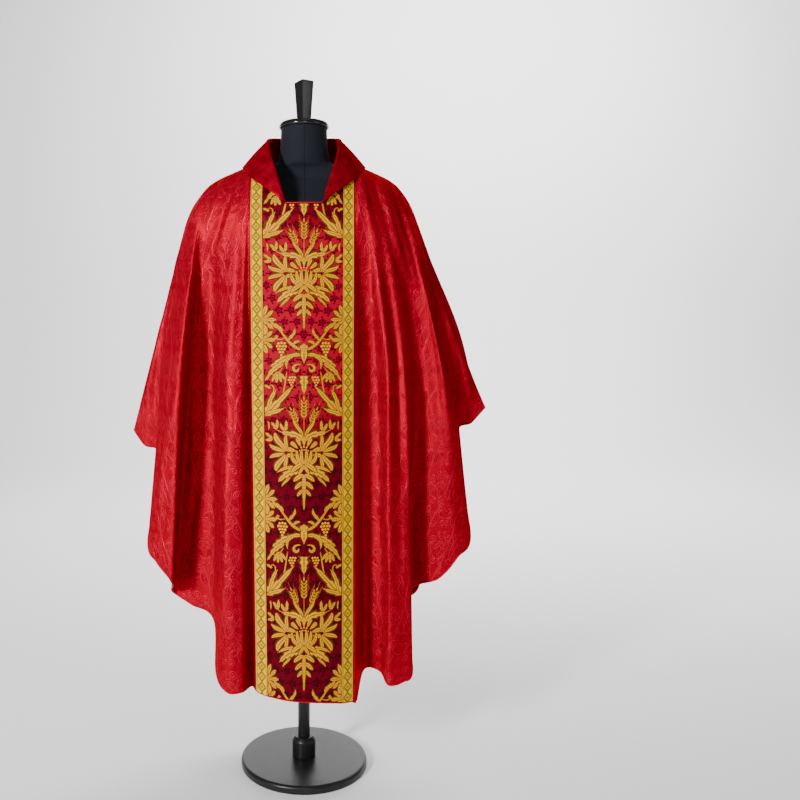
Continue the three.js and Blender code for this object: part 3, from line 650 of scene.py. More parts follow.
def fold_surface(lines, point):
    """Points [line, row] as (across, out, height). From its top point each line runs over the
    shoulder as one Bezier curve, close to a quarter ellipse, to the chest, and then as cubic
    curves in height to the waist and the hem with one slope at each level."""
    low = np.maximum(lines, SEAM_HALF_GAP)
    level = np.full(len(lines), 1.0)
    chest = np.stack([lines[:, 1], low[:, 2], level * CHEST_HEIGHT], 1)
    waist = np.stack([lines[:, 3], low[:, 4], level * WAIST_HEIGHT], 1)
    hem = np.stack([lines[:, 5], low[:, 6], lines[:, 7]], 1)
    upper = (waist - chest) / (CHEST_HEIGHT - WAIST_HEIGHT)
    lower = (hem - waist) / (WAIST_HEIGHT - hem[:, 2:])
    same = upper * lower > 0
    middle = np.where(same, 2 * upper * lower / np.where(same, upper + lower, 1), 0)

    turned_in = np.arcsin(np.clip(point[:, 1] / np.maximum(lines[:, 2], 1e-6), 0, 1))
    turned_in = np.where(lines[:, 2] > point[:, 1], turned_in, 0)
    rise = (point[:, 2] - CHEST_HEIGHT) / np.cos(turned_in)
    roundness = 4 / 3 * np.tan((math.pi / 2 - turned_in) / 4)
    sideways = roundness * (chest[:, 0] - point[:, 0])
    slope = SHOULDER_SLOPE + (OUTER_SLOPE - SHOULDER_SLOPE) * past_torso(np.abs(point[:, 0]))
    down = -roundness * rise * np.sin(turned_in) - slope * np.abs(sideways)
    leave = np.stack([sideways, roundness * chest[:, 1] * np.cos(turned_in), down], 1)
    arrive = chest + upper * np.array([1, 1, 0]) * (-roundness * rise)[:, None]
    arrive[:, 2] = CHEST_HEIGHT + roundness * rise
    t = np.linspace(0, 1, SHOULDER_ROWS, endpoint=False)[None, :, None]
    ends = [p[:, None] for p in (point, point + leave, arrive, chest)]
    shares = ((1 - t) ** 3, 3 * t * (1 - t) ** 2, 3 * t * t * (1 - t), t**3)
    over = sum(end * share for end, share in zip(ends, shares))

    z = CHEST_HEIGHT + (hem[:, 2:] - CHEST_HEIGHT) * np.linspace(0, 1, BODY_ROWS + 1)[None]
    z = z[..., None]

    def between(start, end, slope_start, slope_end):
        length = start[:, None, 2:] - end[:, None, 2:]
        t = (start[:, None, 2:] - z) / length
        even = t * t * (3 - 2 * t)
        return (
            start[:, None] * (1 - even) + end[:, None] * even
            + slope_start[:, None] * length * t * (1 - t) ** 2
            - slope_end[:, None] * length * t * t * (1 - t)
        )

    above, below = between(chest, waist, upper, middle), between(waist, hem, middle, lower)
    body = np.where(z >= WAIST_HEIGHT, above, below)
    body[..., 2:] = z
    return np.concatenate([over, body], 1)


def creased(points, lines, creases):
    """Each crease is a bell-shaped ridge or trough of the given half width and depth along a
    slightly bowed line between its ends, where it dies away. It moves the cloth along its
    normals, and none crosses the flat band of the orphrey."""
    normals = grid_normals(points)
    across, height = points[..., 0], points[..., 2]
    push = np.zeros(across.shape)
    for i, (x0, z0, x1, z1, width, depth) in enumerate(creases * MM):
        run = np.array([x1 - x0, z1 - z0])
        length = np.hypot(*run)
        run = run / length
        along = ((across - x0) * run[0] + (height - z0) * run[1]) / length
        bow = (1 if i % 2 else -1) * CREASE_BOW * length * np.sin(math.pi * np.clip(along, 0, 1))
        away = (across - x0) * run[1] - (height - z0) * run[0] + bow
        fade = np.clip(4 * along * (1 - along), 0, 1) ** 0.75
        push += depth * np.exp(-((away / width) ** 2)) * fade
    beside = np.clip((np.abs(lines[:, 0]) - BAND_EDGE - CREASE_CLEAR) / CREASE_FADE, 0, 1)[:, None]
    return points + normals * (push * beside * beside * (3 - 2 * beside))[..., None]


def grid_normals(points):
    """Unit normals of a grid [line, row]: the way down crossed with the way across."""
    across, down = np.gradient(points, axis=0), np.gradient(points, axis=1)
    normals = np.cross(down, across)
    return normals / np.maximum(np.linalg.norm(normals, axis=-1, keepdims=True), 1e-12)


def cloth_side(folds, top_edge, creases, facing):
    """One side of the chasuble as a grid [line, row]: points, outward normals, and the cloth's
    own coordinates in metres, across from the middle line and up or down from the chest. Its
    top edge runs straight from row to row of the table."""
    spans = np.diff(folds, axis=0)
    widest = np.sqrt(np.max([spans[:, a] ** 2 + spans[:, a + 1] ** 2 for a in (1, 3, 5)], axis=0))
    counts = np.maximum(np.ceil(widest / COLUMN_STEP).astype(int), 1)
    places = np.concatenate([i + np.arange(n) / n for i, n in enumerate(counts)] + [[len(folds) - 1]])
    lines = between_rows(folds, places)
    lines[:, 0] = np.interp(places, np.arange(len(folds)), folds[:, 0])
    points = fold_surface(lines, top_edge(lines[:, 0]))
    points = creased(points, lines, creases)
    # The viewer's across and out become the shared X and Y on the side that they face.
    points = points * np.array([-facing, facing, 1])
    normals = grid_normals(points)
    seam = np.abs(lines[:, 0]) >= NECK_HALF - 1e-6
    normals[seam, 0, 1] = 0
    normals[[0, -1], :, 1] = 0
    normals /= np.linalg.norm(normals, axis=-1, keepdims=True)

    steps = np.linalg.norm(np.diff(points, axis=0), axis=-1)
    across = np.concatenate([np.zeros((1, points.shape[1])), np.cumsum(steps, axis=0)])
    middle = np.argmin(np.abs(lines[:, 0]))
    across = across - across[middle]
    down = np.linalg.norm(np.diff(points, axis=1), axis=-1)
    down = np.concatenate([np.zeros((len(points), 1)), np.cumsum(down, axis=1)], 1)
    level = CHEST_HEIGHT + down[:, SHOULDER_ROWS : SHOULDER_ROWS + 1] - down
    uv = np.stack([across, level], -1)
    return {"top": lines[:, 0], "points": points, "normals": normals, "uv": uv}


def closed_wall(outer, inner, uv):
    """Two grids [line, row] with the same places as one closed wall: both faces and the rim."""
    columns, rows = outer.shape[:2]
    shift = rows * columns
    index = np.arange(shift).reshape(columns, rows).T
    cell = [index[:-1, :-1], index[1:, :-1], index[1:, 1:], index[:-1, 1:]]
    face = np.stack(cell, -1).reshape(-1, 4)
    rim = np.concatenate([index[0, :-1], index[:-1, -1], index[-1, :0:-1], index[:0:-1, 0]])
    ahead = np.roll(rim, -1)
    edge = np.stack([rim, ahead, ahead + shift, rim + shift], 1)
    points = np.concatenate([outer.reshape(-1, 3), inner.reshape(-1, 3)])
    faces = np.concatenate([face, face[:, ::-1] + shift, edge]).tolist()
    return points, faces, np.concatenate([uv.reshape(-1, 2)] * 2)


def cloth_strip(side, start, end, base, thickness):
    """The part of a side between two places on its top edge, as a wall "base" above it. Its own
    across is the place on the top edge, from the strip's middle, so that the strip is equally
    wide in it all the way down. Its own height is measured on the cloth."""
    kept = (side["top"] >= start - 1e-6) & (side["top"] <= end + 1e-6)
    top, points, normals, uv = (side[key][kept] for key in ("top", "points", "normals", "uv"))
    across = np.broadcast_to((top - (start + end) / 2)[:, None], uv.shape[:2])
    outer = points + normals * (base + thickness)
    return closed_wall(outer, points + normals * base, np.stack([across, uv[..., 1]], -1))


front = cloth_side(FRONT_FOLDS, front_top, FRONT_CREASES, -1)
back = cloth_side(BACK_FOLDS, back_top, BACK_CREASES, 1)
SIDES = (("front", front), ("back", back))

SATIN_TINT = (1.0, 0.12, 0.15, 1)
SHEEN_TINT = (1.0, 0.08, 0.10, 1)
damask = Finish(
    "silk_damask", Roughness=0.40, Metallic=0.45, Specular_IOR_Level=0.0, Sheen_Weight=0.03,
    Sheen_Tint=SHEEN_TINT, Specular_Tint=SATIN_TINT,
)
cloth_u, cloth_v, cloth_vector = damask.on_cloth()
DAMASK_WIDTH = 0.092
DAMASK_HEIGHT = 0.140
DAMASK_LINE = 0.8 * MM
ECHO_PITCH = 3.4 * MM
TWILL_PITCH = 0.7 * MM

# The figures wander a few millimetres from a perfect repeat, as woven silk that hangs does.
wander_a = (damask.noise(cloth_vector, 9, 2) - 0.5) * 0.018
wander_b = (damask.noise(cloth_vector, 11, 2) - 0.5) * 0.018
drifted_u, drifted_v = cloth_u + wander_a, cloth_v + wander_b
row_shift = drifted_v.part(2 * DAMASK_HEIGHT).math("GREATER_THAN", 0) * (DAMASK_WIDTH / 2)
cell_a = abs((drifted_u + row_shift).part(DAMASK_WIDTH))
cell_b = drifted_v.part(DAMASK_HEIGHT)


def line_at(distance, half=DAMASK_LINE):
    """1 on a line where the distance is 0, fading at its edges."""
    return abs(distance).below(half, 1.0 * MM)


def curl(centre, radius, turns, start, hand):
    """A spiral: the lines where radius minus pitch times turn is a whole number of pitches,
    inside a circle."""
    a, b = cell_a - centre[0], cell_b - centre[1]
    away = (a * a + b * b).root()
    pitch = radius / turns
    turn = (b.angle(a) * hand + start) * (pitch / (2 * math.pi))
    return line_at((away - turn).part(pitch)) * away.below(radius, 1 * MM)


def leaf(foot, angle, length, width):
    """A pointed leaf: half its width is a parabola along it. Lines echo its outline inwards."""
    a, b = cell_a - foot[0], cell_b - foot[1]
    along = (a * math.cos(angle) + b * math.sin(angle)) * (2 / length) - 1
    beside = b * math.cos(angle) - a * math.sin(angle)
    edge = (1 - along * along) * (width / 2)
    inside = abs(along).below(1, 0.02)
    depth = edge - abs(beside)
    outline = line_at(depth) * inside
    echo = abs((depth + ECHO_PITCH / 2).part(ECHO_PITCH)).below(0.45 * MM, 0.7 * MM)
    body = (depth * (1 / MM)).clipped() * inside
    return outline, echo * body, body


def blossom(centre, radius, petals):
    """A flower: its edge is a circle that a cosine of the angle draws in between the petals."""
    a, b = cell_a - centre[0], cell_b - centre[1]
    away = (a * a + b * b).root()
    angle = b.angle(a)
    edge = (angle * petals).cos() * (0.18 * radius) + 0.82 * radius
    ring = line_at(away - edge)
    spoke = abs((angle * (petals / 2)).sin()).below(0.16, 0.1) * away.below(0.7 * radius, 1 * MM)
    eye = line_at(away - 0.28 * radius)
    body = away.below(0.8 * radius, 1 * MM)
    return ring, eye.most(spoke * 0.7), body


stem_line = DAMASK_WIDTH / 4 - (cell_b * (math.pi / DAMASK_HEIGHT)).sin() * (DAMASK_WIDTH / 4)
from_stem = cell_a - stem_line
stems = line_at(from_stem, 1.0 * MM).most(line_at(from_stem - 3.2 * MM, 0.4 * MM))
berry_step = cell_b.part(7 * MM)
berry_row = from_stem + 6.5 * MM
berries = (berry_row * berry_row + berry_step * berry_step).root().below(1.4 * MM, 0.8 * MM)
stems = stems.most(berries)
curls = [
    curl((0.026, -0.026), 0.012, 2.0, 0.5, 1), curl((0.014, 0.044), 0.011, 2.0, 2.0, -1),
    curl((0.035, 0.054), 0.010, 1.8, 4.0, 1), curl((0.009, -0.059), 0.009, 1.8, 1.2, -1),
    curl((0.037, -0.004), 0.008, 1.6, 3.0, -1),
]
leaves = [
    leaf((0.003, -0.004), 1.12, 0.052, 0.022), leaf((0.044, 0.000), 2.25, 0.046, 0.017),
    leaf((0.041, -0.068), 1.85, 0.044, 0.017), leaf((0.005, -0.046), 0.55, 0.031, 0.012),
    leaf((0.030, 0.020), 0.9, 0.026, 0.010),
]
blossoms = [blossom((0.0, -0.016), 0.015, 8), blossom((0.046, 0.036), 0.011, 6)]
drawn = stems
for figure in curls:
    drawn = drawn.most(figure)
bodies = None
for outline, inner, body in leaves + blossoms:
    drawn = drawn.most(outline).most(inner * 0.8)
    bodies = body if bodies is None else bodies.most(body)
mottle = damask.noise(cloth_vector, 85)
drawn = drawn * (mottle * 1.2 + 0.4)

twill = ((cloth_u + cloth_v) * (2 * math.pi / TWILL_PITCH)).sin()
slub = damask.noise(cloth_vector, 420, 2)
cloud = damask.noise(cloth_vector, 7)
ground_red = damask.mix(cloud, (0.31, 0.000, 0.011), (0.36, 0.000, 0.014))
body_red = damask.mix(bodies * 0.55, ground_red, (0.20, 0.000, 0.006))
grain = ((slub - 0.5) * 3).clipped()
grained_red = damask.mix(grain * 0.25, body_red, (0.48, 0.004, 0.022))
damask.feed("Base Color", damask.mix(drawn * 0.72, grained_red, (0.56, 0.010, 0.036)))
damask.feed("Roughness", bodies * 0.08 - drawn * 0.08 + slub * 0.08 + 0.36)
damask.bump(drawn * 0.8 + bodies * 0.3 + twill * (1 - bodies) * 0.05 + slub * 0.2, 0.0010, 0.6)

for name, side in SIDES:
    cloth = closed_wall(side["points"], side["points"] - side["normals"] * PANEL_WALL, side["uv"])
    add_piece(f"{name}_panel_cloth", cloth, damask, "damask", [f"{name}_panel"])


# Hem piping and neck binding
# A thin bright satin cord finishes the whole hem on each side. A bias strip of the same satin
# binds the level front of the neckline.

PIPING_RADIUS = 2 * MM
PIPING_SIDES = 12
PIPING_DROP = 2.2 * MM
NECK_DROP = 1.6 * MM

piping = Finish(
    "red_satin_piping", Roughness=0.34, Metallic=0.3, Specular_IOR_Level=0.1, Specular_Tint=SATIN_TINT
)
cord_u, cord_v, cord_vector = piping.on_cloth()
CORD_PITCH = 2.4 * MM
cord_twist = ((cord_u + cord_v * 0.7) * (2 * math.pi / CORD_PITCH)).sin()
cord_mottle = piping.noise(cord_vector, 60)
piping.feed("Base Color", piping.mix(cord_mottle, (0.40, 0.002, 0.014), (0.52, 0.006, 0.022)))
piping.bump(cord_twist * 0.3 + cord_mottle * 0.4, 0.0006, 0.6)


def turned_outward(points, faces, uv):
    """The same closed surface with its faces turned round if its volume comes out negative:
    six times the volume is the sum of each triangle's corners' triple products."""
    halves = ([f[:3]] if len(f) == 3 else [f[:3], [f[0], *f[2:]]] for f in faces)
    triangles = np.array([triangle for pair in halves for triangle in pair])
    a, b, c = (points[triangles[:, k]] for k in range(3))
    volume = np.sum(a * np.cross(b, c))
    return points, faces if volume > 0 else [face[::-1] for face in faces], uv


def cord_along(edge, normals, drop):
    """A round cord beside an edge: its middle lies "drop" past the edge, in the direction that
    is square to both the edge and the cloth's normal, and half a wall below the face."""
    outward = np.cross(np.gradient(edge, axis=0), normals)
    outward /= np.linalg.norm(outward, axis=1, keepdims=True)
    middle = edge + outward * drop - normals * PANEL_WALL / 2
    angle = np.linspace(0, 2 * math.pi, PIPING_SIDES, endpoint=False)
    round_about = outward[:, None] * np.sin(angle)[:, None] + normals[:, None] * np.cos(angle)[:, None]
    rings = middle[:, None] + PIPING_RADIUS * round_about
    points, faces, _ = capped(rings, middle[0], middle[-1])
    length = np.concatenate([[0], np.cumsum(np.linalg.norm(np.diff(middle, axis=0), axis=1))])
    uv = np.stack(np.broadcast_arrays(length[:, None], angle * PIPING_RADIUS), -1).reshape(-1, 2)
    return turned_outward(points, faces, np.concatenate([uv, [[0, 0], [length[-1], 0]]]))


for name, side in SIDES:
    hem_cord = cord_along(side["points"][:, -1], side["normals"][:, -1], PIPING_DROP)
    add_piece(f"{name}_hem_cord", hem_cord, piping, "piping", [f"{name}_hem_piping"])

level_front = np.abs(front["top"]) <= CORNER_HALF + 1e-6
neck_edge, neck_normals = front["points"][level_front, 0], front["normals"][level_front, 0]
neck_cord = cord_along(neck_edge, neck_normals, -NECK_DROP)
add_piece("neck_bias_binding", neck_cord, piping, "piping", ["neck_binding"])


# Orphreys
# A wide band of figured velvet brocade down the middle of each side, sewn flat on the panel.
# Its ground is bright red from the chest to just below the waist and dark burgundy above and below,
# sprinkled with small dark blossoms.

TRIM_WALL = 1 * MM
LAID_GAP = 0.5 * MM
brocade = Finish(
    "brocade_ground", Roughness=0.62, Specular_IOR_Level=0.1, Sheen_Weight=0.05,
    Sheen_Tint=SHEEN_TINT, Specular_Tint=(1.0, 0.30, 0.32, 1),
)
band_u, band_v, band_vector = brocade.on_cloth()

SPRIG_PITCH = 27 * MM
PETAL_REACH, PETAL_NOTCH, EYE_REACH = 7.8 * MM, 1.8 * MM, 3.0 * MM
sprig_row = band_v.part(2 * SPRIG_PITCH).math("GREATER_THAN", 0)
sprig_drift = (brocade.noise(band_vector, 14, 1) - 0.5) * 0.016
sprig_a = (abs(band_u) + sprig_row * (SPRIG_PITCH / 2) + sprig_drift).part(SPRIG_PITCH)
sprig_b = (band_v + sprig_drift).part(SPRIG_PITCH)
sprig_away = (sprig_a * sprig_a + sprig_b * sprig_b).root()
sprig_turn = sprig_b.angle(sprig_a)
sprig_edge = (sprig_turn * 5).cos() * PETAL_NOTCH + PETAL_REACH
sprig_eye = abs(sprig_away - EYE_REACH).below(0.6 * MM, 0.6 * MM)
sprig_flower = (sprig_away - sprig_edge).below(0, 1 * MM) * (1 - sprig_eye)
sprig_leaves = abs((sprig_turn * 2).sin()).below(0.30, 0.25)
sprig_leaves = sprig_leaves * abs(sprig_away - 12 * MM).below(2.2 * MM, 1 * MM)
sprig_stem = abs(sprig_b - (sprig_a * 200).sin() * (5 * MM)).below(0.8 * MM, 0.8 * MM)
sprig_stem = sprig_stem * abs(sprig_a).below(10 * MM, 1 * MM)
sprigs = sprig_flower.most(sprig_leaves).most(sprig_stem)
velvet = brocade.noise(band_vector, 500, 2)
fade_noise = (brocade.noise(band_vector, 9, 2) - 0.5) * 0.10
faded_v = band_v + fade_noise
# The ground is bright from the chest to just below the waist on the cloth and dark above and below, with a
# wavering edge.
ground_depth = faded_v.below(1.250, 0.08) * (1 - faded_v.below(0.83, 0.13))
low_ground = brocade.mix(velvet, (0.060, 0.000, 0.004), (0.095, 0.001, 0.006))
high_ground = brocade.mix(velvet, (0.32, 0.000, 0.013), (0.42, 0.002, 0.020))
band_ground = brocade.mix(ground_depth * 0.85 + 0.08, low_ground, high_ground)
band_sprig = brocade.mix(ground_depth, (0.024, 0.000, 0.002), (0.058, 0.000, 0.006))
brocade.feed("Base Color", brocade.mix(sprigs * 0.9, band_ground, band_sprig))
brocade.feed("Roughness", velvet * 0.2 + 0.5)
band_rib = (band_v * (2 * math.pi / (1.1 * MM))).sin()
brocade.bump(velvet * 0.5 + band_rib * 0.12 - sprigs * 0.3, 0.0008, 0.6)
for name, side in SIDES:
    band = cloth_strip(side, -BAND_EDGE, BAND_EDGE, LAID_GAP, TRIM_WALL)
    add_piece(f"{name}_orphrey_band", band, brocade, "brocade", [f"{name}_orphrey"])


# Gold brocading
# Raised gold figures are woven on each orphrey, mirrored about its middle line and repeated
# down it: a wheat and blossom bouquet, then leaf scrolls with grapes from the braided edges.

REPEAT = 0.392
BOUQUET_HEIGHT = {"front": 1.146, "back": 1.020}
FIGURE_RISE = 0.38 * MM
FIGURE_ROOT = 0.15 * MM
FIGURE_LIMIT = 90.5 * MM
LAYER_RISE = 0.07 * MM
FIGURE_ROWS = 700
FIGURE_REPEATS = range(-1, 4)
TOP_MARGIN, HEM_MARGIN, LEAST_HEIGHT = 1.5 * MM, 1 * MM, 1 * MM


def bent(path, steps):
    """A Bezier curve of any degree through its control points: each pass takes the points
    between neighbours until one is left. Also the unit tangents and the normals to the left."""
    t = np.linspace(0, 1, steps)[:, None, None]
    level = np.reshape(path, (1, -1, 2)) * MM + 0 * t
    while level.shape[1] > 1:
        level = level[:, :-1] * (1 - t) + level[:, 1:] * t
    spine = level[:, 0]
    tangent = np.gradient(spine, axis=0)
    tangent /= np.maximum(np.linalg.norm(tangent, axis=1, keepdims=True), 1e-9)
    return spine, tangent, np.stack([-tangent[:, 1], tangent[:, 0]], 1)


def frond(path, width, layer=1, lobes=0, cut=0.4, sweep=0.5, full=0.40, steps=0, ribs=7):
    """A leaf, petal or stem on a spine: its half width is an arch along the spine that ends in
    a point. Each lobe widens forwards and then drops back, like the barbs of a leaf, and the
    face is a low dome with a groove down it."""
    steps = steps or (9 * lobes + 4 if lobes else 12)
    spine, tangent, normal = bent(path, steps)
    t = np.linspace(0, 1, steps)
    arch = t**full * (1 - t) ** (1.25 * (1 - full))
    arch = arch / arch.max()
    barb = (lobes * t * 0.999 + 0.25) % 1
    tooth = 1 - cut * (1 - np.minimum(barb, (1 - barb) * 4.0) ** 0.8) if lobes else 1
    half = np.maximum(arch * tooth * width / 2, 0.12) * MM
    j = np.linspace(-1, 1, ribs)
    reach = normal[:, None] * j[:, None] + sweep * tangent[:, None] * np.abs(j)[:, None]
    flat = spine[:, None] + half[:, None, None] * reach
    dome = FIGURE_RISE * (1 - j**4) * (0.62 + 0.38 * np.abs(j))
    height = np.minimum(dome[None], half[:, None] * 0.8) + LAYER_RISE * layer
    top = np.concatenate([flat, height[..., None]], -1)
    top[:, [0, -1], 2] -= FIGURE_ROOT / 2
    under = flat[:, ::-1][:, [1, ribs // 2, -2]]
    under = np.concatenate([under, np.full((steps, 3, 1), -FIGURE_ROOT)], -1)
    rings = np.concatenate([top, under], 1)
    points, faces, _ = capped(rings, rings[0].mean(0), rings[-1].mean(0))
    along = t * np.linalg.norm(np.diff(spine, axis=0), axis=1).sum()
    beside = np.concatenate([j, [0.9, 0.9, 0.9]])
    uv = np.stack(np.broadcast_arrays(beside, along[:, None]), -1).reshape(-1, 2)
    return points, faces, np.concatenate([uv, [[0, 0], [0, along[-1]]]])


def grape(x, y, radius=3.0):
    """A berry: rings of a low dome."""
    angle = np.linspace(0, 2 * math.pi, 10, endpoint=False)
    share = np.array([0.9, 1.0, 0.75, 0.4])[:, None]
    rise = np.array([-FIGURE_ROOT, 0.08 * MM, FIGURE_RISE * 0.9, FIGURE_RISE * 1.25])[:, None]
    flat = (x + radius * share * np.cos(angle)) * MM, (y + radius * share * np.sin(angle)) * MM
    ring = np.stack(np.broadcast_arrays(*flat, rise), -1)
    middle = np.array([x * MM, y * MM, 0])
    points, faces, _ = capped(ring, middle - [0, 0, FIGURE_ROOT], middle + [0, 0, FIGURE_RISE * 1.3])
    uv = np.full((len(points), 2), 0.0032)
    uv[:, 0] = 0.42
    uv[:20, 0] = 0.9
    return points, faces, uv


def wheat(foot, tip, grains, size):
    """An ear of wheat on its stalk: paired grains lean forwards along the upper part, and a
    fine awn runs on from each."""
    foot, tip = np.array(foot, float), np.array(tip, float)
    way = (tip - foot) / np.linalg.norm(tip - foot)
    side = np.array([-way[1], way[0]])
    pieces = [frond([foot, (foot + tip) / 2, tip], 1.8, sweep=0, ribs=3, steps=8)]
    for k in range(grains):
        place = tip - way * size * (0.62 * k)
        for hand in ((-1, 1) if k else (0,)):
            lean = (way * 0.86 + side * hand * 0.5) * size
            start = place + side * hand * size * 0.08
            grain = [start, start + lean * 0.5 + side * hand, start + lean]
            awn = [start + lean, start + lean + (way + side * hand * 0.32) * size * 1.15]
            pieces.append(frond(grain, size * 0.42, sweep=0, ribs=5, steps=7))
            pieces.append(frond(awn, 0.75, sweep=0, ribs=3, steps=4))
    return pieces


def blossom_petals(centre, inner, outer, width, turns, layer, full=0.6):
    """Petals that radiate from a centre between two radii, at the given angles in degrees.
    Neighbours lie over each other in turn."""
    centre = np.array(centre, float)
    for k, angle in enumerate(np.radians(turns)):
        way = np.array([math.cos(angle), math.sin(angle)])
        path = [centre + way * inner, centre + way * (inner + outer) / 2, centre + way * outer]
        yield frond(path, width, layer + k % 2, full=full, sweep=0.25)


# The figures of one repeat, in mm from the middle of its blossom. MIDDLE stands on the middle
# line, and HALF is mirrored to the other side. A frond has its path, as across and up in turn,
# its width, its layer, and where it has them its lobes and how deep they are cut.
MIDDLE = [
    *wheat((0, 30), (0, 116), 6, 12),
    *blossom_petals((0, 0), 17, 38, 13, np.arange(9) * 24 - 6, 2, 0.75),
    *[grape(x, y, 2.3) for x, y in ((-9, 7), (-3, 9), (3, 9), (9, 7), (-6, 14), (0, 15.5), (6, 14))],
    frond((0, -44, 0, -70, 0, -116), 13, 5),
    frond((0, -96, 0, -106, 0, -122), 8),
    frond((0, -156, 0, -172, 0, -196), 36, 4, 2, 0.5, sweep=-0.5),
    frond((0, -152, 0, -160, 0, -170), 14, 5),
    frond((0, -224, 0, -238, 0, -262), 38, 2, 3, 0.55, sweep=-0.5),
]
HALF = [
    *wheat((3, 44), (27, 94), 5, 11),
    # The cup of the middle blossom, its sepals and the pendant below it.
    frond((0, -22, 8, -14, 5, 11), 12, 8, full=0.55, sweep=0.2),
    frond((1, -22, 18, -16, 15, 9), 12, 7, full=0.55, sweep=0.2),
    frond((2, -23, 28, -22, 27, 5), 13, 6, full=0.5, sweep=0.2),
    frond((1, -22, 14, -24, 28, -40), 15, 7, full=0.55),
    frond((0, -24, 4, -32, 12, -44), 11, 8, full=0.5),
    frond((0, -46, 10, -46, 23, -60), 15, 3, full=0.5),
    frond((0, -62, 9, -63, 20, -77), 14, 4, full=0.5),
    frond((0, -78, 7, -80, 15, -92), 11, 3, full=0.5),
    # Leaves and buds beside the wheat, and the side blossoms.
    frond((4, 28, 12, 48, 32, 40, 52, 48), 27, 3, 3, 0.5),
    frond((3, 34, 5, 56, 21, 58, 24, 78), 11, 2),
    frond((24, 4, 34, 8, 42, 6), 5, 2, sweep=0),
    frond((40, 6, 36, 20, 44, 28, 38, 42), 13, 3, full=0.55),
    frond((42, 4, 44, 22, 64, 24, 64, 45), 21, 4, 2, 0.22, full=0.6),
    frond((43, 3, 56, 12, 66, 8, 80, 20), 14, 5, full=0.5),
    frond((43, 1, 56, -4, 66, -2, 80, -10), 13, 4, full=0.5),
    frond((42, 0, 44, -16, 62, -18, 63, -38), 21, 5, 2, 0.22, full=0.6),
    frond((40, -2, 36, -14, 44, -22, 40, -36), 13, 3, full=0.55),
    frond((44, 42, 52, 50, 58, 48, 64, 56), 2.6, sweep=0),
    frond((62, 52, 64, 60, 74, 68), 14, 1, 2), frond((62, 52, 58, 62, 59, 74), 11, 2),
    frond((42, 50, 37, 58, 39, 73), 14, 1, 2), frond((43, 50, 50, 57, 52, 66), 10, 2),
    frond((70, 32, 79, 36, 89, 45), 14, 1, 2), frond((70, 30, 80, 29, 89, 29), 11, 2),
    # One broad leaf on each side of the pendant, with a smaller one above it.
    frond((8, -38, 26, -36, 40, -42, 58, -62), 33, 3, 4, 0.5),
    frond((14, -34, 30, -26, 44, -30, 62, -42), 15, 4, 2, 0.4),
    frond((30, -50, 38, -60, 46, -62, 50, -72), 8, 2),
    # Half blossoms that the braid cuts, and the scroll that rises to them.
    *[
        frond(
            (94, y, 94 - 16 * math.cos(a), y + 16 * math.sin(a), 94 - r * math.cos(a), y + r * math.sin(a)),
            17, 2 + k % 2, 2, 0.35, full=0.55,
        )
        for y, r in ((-100, 34), (-144, 31)) for k, a in enumerate((-1.25, -0.62, 0.0, 0.62, 1.25))
    ],
    *blossom_petals((94, -100), 2, 15, 8, (100, 140, 180, 220, 260), 5),
    *blossom_petals((94, -144), 2, 14, 8, (100, 140, 180, 220, 260), 5),
    frond((4, -166, 24, -162, 38, -146, 48, -122, 66, -112), 9, 2, sweep=0, full=0.3, steps=26),
    frond((34, -146, 26, -134, 18, -132, 20, -118), 12, 1, 2),
    frond((24, -156, 18, -146, 8, -148), 9),
    frond((46, -126, 56, -112, 66, -114, 74, -102), 17, 3, 3, 0.4),
    frond((40, -140, 58, -150, 68, -138, 60, -128, 54, -138), 4, 3, sweep=0, steps=20),
    frond((56, -136, 64, -140, 68, -150), 11, 1, 2),
    *[grape(48 + dx, -152 - dy, 3.3) for dx, dy in (
        (-6, 0), (0.5, -1), (7, 0), (-9, 6.5), (-2.5, 6), (4, 6), (10, 6), (-6, 13), (0.5, 12.5),
        (7, 12.5), (-2.5, 19), (4, 19), (1, 25.5),
    )],
    # Curled leaves below the centre palmette.
    frond((4, -178, 28, -172, 44, -186, 36, -208), 17, 3, 3, 0.4),
    frond((6, -198, 30, -194, 28, -218, 10, -216, 12, -205), 9, 2, sweep=0, full=0.6, steps=22),
    frond((22, -182, 46, -178, 58, -200, 74, -202), 27, 2, 4, 0.5),
    frond((44, -196, 62, -204, 76, -214, 88, -234), 22, 3, 4, 0.45),
    frond((46, -204, 58, -226, 72, -224, 76, -212), 4, sweep=0, steps=18),
    *blossom_petals((58, -212), 2, 26, 10, (-62, -86, -110, -134), 2),
    *[grape(24 + dx, -226 - dy, 2.8) for dx, dy in (
        (-5, 0), (0.5, -0.5), (6, 0), (-3, 5.5), (3, 5.5), (8.5, 5.5), (0, 11), (6, 11), (3, 16.5),
    )],
    # The big leaves that sweep up from the braid on both sides of the next bouquet's wheat.
    frond((36, -212, 44, -240, 38, -264, 54, -286, 92, -312), 4.5, sweep=0, steps=26),
    frond((90, -310, 74, -300, 56, -280, 21, -242), 31, 3, 3, 0.5),
    frond((88, -306, 80, -290, 78, -276, 60, -252), 27, 4, 3, 0.5),
    frond((90, -310, 76, -302, 64, -304, 42, -292), 20, 5, 2, 0.45),
    frond((70, -262, 60, -248, 70, -238, 80, -246), 4, 3, sweep=0, steps=16),
    frond((74, -248, 82, -250, 90, -242), 11, 1, 2),
    frond((84, -322, 78, -330, 82, -342), 10, 1, 2),
]


